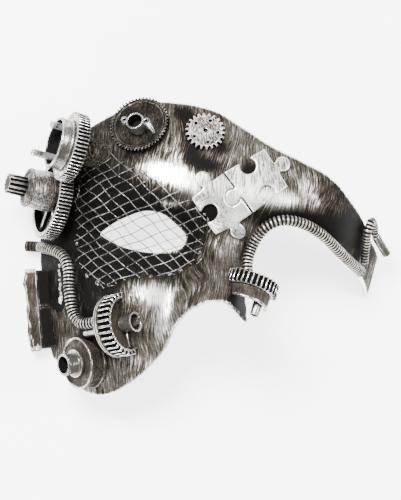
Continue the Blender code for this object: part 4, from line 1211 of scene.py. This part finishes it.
# %% The jigsaw plates
PLATES = {
    "jigsaw_plate_1": (((-17.4, 12.9), (-6.0, 24.4), (8.3, 10.3), (-4.4, -0.1)), (1, -1, 1, -1)),
    "jigsaw_plate_2": (((-5.5, 24.9), (10.3, 37.2), (21.6, 22.8), (8.8, 10.8)), (-1, 1, -1, 1)),
}


# The radius of a knob or a socket, half the width of its neck, and how far out its middle is
KNOB = (3.1, 2.0, 3.3)
KNOB_SOCKET = (3.45, 2.35, 2.6)


def knob_side(start, end, out):
    """One side of a plate, with a round knob out or a socket in."""
    start, end = Vector(start), Vector(end)
    along = (end - start).normalized()
    outward = Vector((-along.y, along.x)) * out
    radius, neck, reach = KNOB if out > 0 else KNOB_SOCKET
    middle = (start + end) / 2
    centre = middle + outward * reach
    points = [start, middle - along * (neck + 0.9), middle - along * (neck + 0.1) + outward * 0.35]
    for degrees in range(-38, 219, 8):
        angle = math.radians(180 - degrees)
        points.append(centre + (along * math.cos(angle) + outward * math.sin(angle)) * radius)
    points += [middle + along * (neck + 0.1) + outward * 0.35, middle + along * (neck + 0.9)]
    return [(p.x, p.y) for p in points]


# Silver paint on the plates, with a painted highlight: a broad bright patch across their middle,
# where the lamp's reflection runs from the brow to the arm
def plate_silver_and_highlight(places):
    return 0.66 + 0.32 * bell(places[:, 0] - 4, 14) * bell(places[:, 1] - 13, 8)


for name, (corners, knobs) in PLATES.items():
    line = []
    for start, end, out in zip(corners, corners[1:] + corners[:1], knobs):
        line += knob_side(start, end, out)
    xs, ys = [p[0] for p in line], [p[1] for p in line]
    span = ((min(xs) - 3.0, max(xs) + 3.0), (min(ys) - 0.5, max(ys) + 0.5))
    bm = sheet(span, step=0.42, keep=lambda x, y: inside_by(line, x, y),
               low=0.5, high=1.6, soft=0.35)
    piece(name + "_cut", bm, shell_finish, name, sharp=60.0, silver=plate_silver_and_highlight)

# %% [markdown]
# ## The block on the side wall
#
# A rough black block in two lengths is glued to the side wall, with a cover along its outer edge
# that is silver where the hand rubs it and broken away in small bites.

# %% The block and its cover
TOP, BOTTOM = Vector((-68.3, -18.9)), Vector((-61.2, -51.6))
DOWN = (BOTTOM - TOP).normalized()
OUT = Vector((DOWN.y, -DOWN.x))
LENGTH = (BOTTOM - TOP).length
SPLIT = LENGTH * 0.47


def rough_slab(first, last, near, far, back, front, bite):
    """A slab between distances down, out and forward, its faces worked uneven."""
    bm = bmesh.new()
    bmesh.ops.create_cube(bm, size=1.0)
    bmesh.ops.subdivide_edges(bm, edges=bm.edges[:], cuts=11, use_grid_fill=True)
    for vert in bm.verts:
        down = first + (vert.co.y + 0.5) * (last - first)
        out = near + (vert.co.x + 0.5) * (far - near)
        z = back + (vert.co.z + 0.5) * (front - back)
        rough = noise.noise((down * 0.35, out * 0.8, z * 0.5))
        at = TOP + DOWN * down + OUT * (out + rough * bite * (1.0 if vert.co.x > 0.4 else 0.3))
        vert.co = (at.x, at.y, z + 0.15 * noise.noise((down, out, 3.0)))
    return bm


for name, node, first, last in (("block_upper", "side_block_upper", 0.0, SPLIT - GAP / 2),
                                ("block_lower", "side_block_lower", SPLIT + GAP / 2, LENGTH)):
    bm = rough_slab(first, last, -3.5, 5.8, -51.2, -44.5, 0.3)
    cut(bm, above_skin)
    piece(name, bm, black_finish, node)
bm = rough_slab(-0.8, LENGTH + 0.8, 5.8 + GAP, 5.8 + GAP + 4.2, -51.2, -43.7, 1.6)
piece("block_cover", bm, dark_finish, "side_cover")

# %% [markdown]
# ## The hoses
#
# The hoses are ribbed like a shower hose: a bar whose radius swells once in each rib. The brush
# reaches the ribs and leaves the grooves between them black, and that black is partly painted shade
# in the grooves. One hose comes from the side wall down to the cheek gear. The other climbs from
# the nose gear, follows the lower edge of the arm, and comes back up over the edge to a plain
# sleeve.

# %% The hoses
def smooth_route(route, step):
    """Points a step apart on a smooth curve through a route's own points."""
    points = [Vector(p) for p in route]
    points = [2 * points[0] - points[1]] + points + [2 * points[-1] - points[-2]]
    dense = []
    for a, b, c, d in zip(points, points[1:], points[2:], points[3:]):
        for i in range(16):
            t = i / 16
            dense.append(0.5 * (2 * b + (c - a) * t + (2 * a - 5 * b + 4 * c - d) * t * t
                                + (3 * b - a - 3 * c + d) * t**3))
    dense.append(points[-2])
    dense = np.array([tuple(p) for p in dense])
    run = np.append(0.0, np.cumsum(np.linalg.norm(np.diff(dense, axis=0), axis=1)))
    stops = np.linspace(0, run[-1], max(2, round(run[-1] / step)) + 1)
    return stops, np.stack([np.interp(stops, run, dense[:, k]) for k in range(3)], -1)


HOSE_WALL = 0.45
BORE_DEPTH = 1.5
RIB_SILVER = 0.04
GROOVE_SHADE_AND_LOSS = 0.9


def ribbed(name, node, route, radius, pitch, depth, plain_to=0.0):
    """A ribbed hose along a route, with a plain stretch at its start."""
    stops, points = smooth_route(route, pitch / 6)
    wave = np.abs(np.sin(math.pi * stops / pitch)) ** 0.8
    radii = radius - depth + depth * wave
    radii[stops < plain_to] = radius - 0.1
    bm = bmesh.new()
    silver = bm.verts.layers.float.new("silver")
    rings, caps = bar(bm, points, radii, sides=20)
    # Less silver down in each groove: unbrushed black, and painted shade
    for ring, height in zip(rings, wave):
        for vert in ring:
            vert[silver] = RIB_SILVER - GROOVE_SHADE_AND_LOSS * (1 - height) ** 1.2
    for cap, inwards in zip(caps, (points[3] - points[0], points[-4] - points[-1])):
        bmesh.ops.recalc_face_normals(bm, faces=[cap])
        bmesh.ops.inset_region(bm, faces=[cap], thickness=HOSE_WALL)
        deeper = bmesh.ops.extrude_face_region(bm, geom=[cap])["geom"]
        bmesh.ops.translate(bm, verts=parts_of(deeper, bmesh.types.BMVert),
                            vec=Vector(inwards).normalized() * BORE_DEPTH)
        bmesh.ops.delete(bm, geom=[cap], context="FACES_ONLY")
    piece(name, bm, dark_finish, node, sharp=70.0)


HOSE_LIFT = 2.85  # a hose's middle over the skin
brow = [Vector((10.4, -15.4, 2.4))]
for x, y in ((8.1, -8.8), (9.8, -3.1), (11.9, 2.6), (14.8, 7.1), (19.5, 10), (24.7, 11),
             (31.2, 10.7), (37.6, 9.2), (43.6, 6.7), (49.6, 3.1), (55.8, -0.6), (61.9, -2.8)):
    brow.append(on_skin(x, y, HOSE_LIFT))
ribbed("brow_hose_ribbed", "brow_hose", brow, 2.4, 1.6, 0.45)

thin = [on_skin(x, y, 2.25) for x, y in ((63.9, 1.6), (63.4, 4.4), (62.7, 9.5), (61.9, 14.4))]
thin += [Vector(p) for p in ((64.7, 18.2, -22.2), (66.4, 18.0, -25.3), (67.6, 16.3, -27.9),
                             (68.4, 14.1, -29.9))]
ribbed("return_hose_ribbed", "brow_hose_return", thin, 1.8, 1.4, 0.35)

end = Vector((76.2, 7.0, -35.9))
start = thin[-1] + (end - thin[-1]).normalized() * 3 * GAP
length = (end - start).length
turned("sleeve_turned", "brow_sleeve", bright_finish, [
    (0, 1.2), (1.2, 1.2), (1.2, 0.0), (1.85, 0.0), (1.95, length - 0.3), (1.7, length),
    (0, length)], seated(start, end - start), soft=0.12, steps=40, silver=evenly(-0.12))

cheek = [Vector((-79.1, -9.8, -48.2))]
for x, y in ((-71, -9.4), (-66.8, -10.9), (-63.2, -12.9), (-60.8, -15.8), (-59.2, -19.7),
             (-58.5, -23.5), (-58, -27.3), (-57.1, -31), (-56.2, -34.5), (-54.7, -38.1),
             (-52.4, -40.9), (-49.5, -41.5)):
    cheek.append(on_skin(x, y, HOSE_LIFT))
meets = CHEEK.translation - CHEEK_AXIS * (CHEEK_THICK + 1.6 + 2 * GAP)
cheek.append(cheek[-1] + CHEEK_AXIS * (meets - cheek[-1]).dot(CHEEK_AXIS))
ribbed("cheek_hose_ribbed", "cheek_hose", cheek, 2.45, 1.5, 0.5, plain_to=6.0)

# %% [markdown]
# ## The measure of the whole
#
# The dressed mask must keep to the size of its solids.
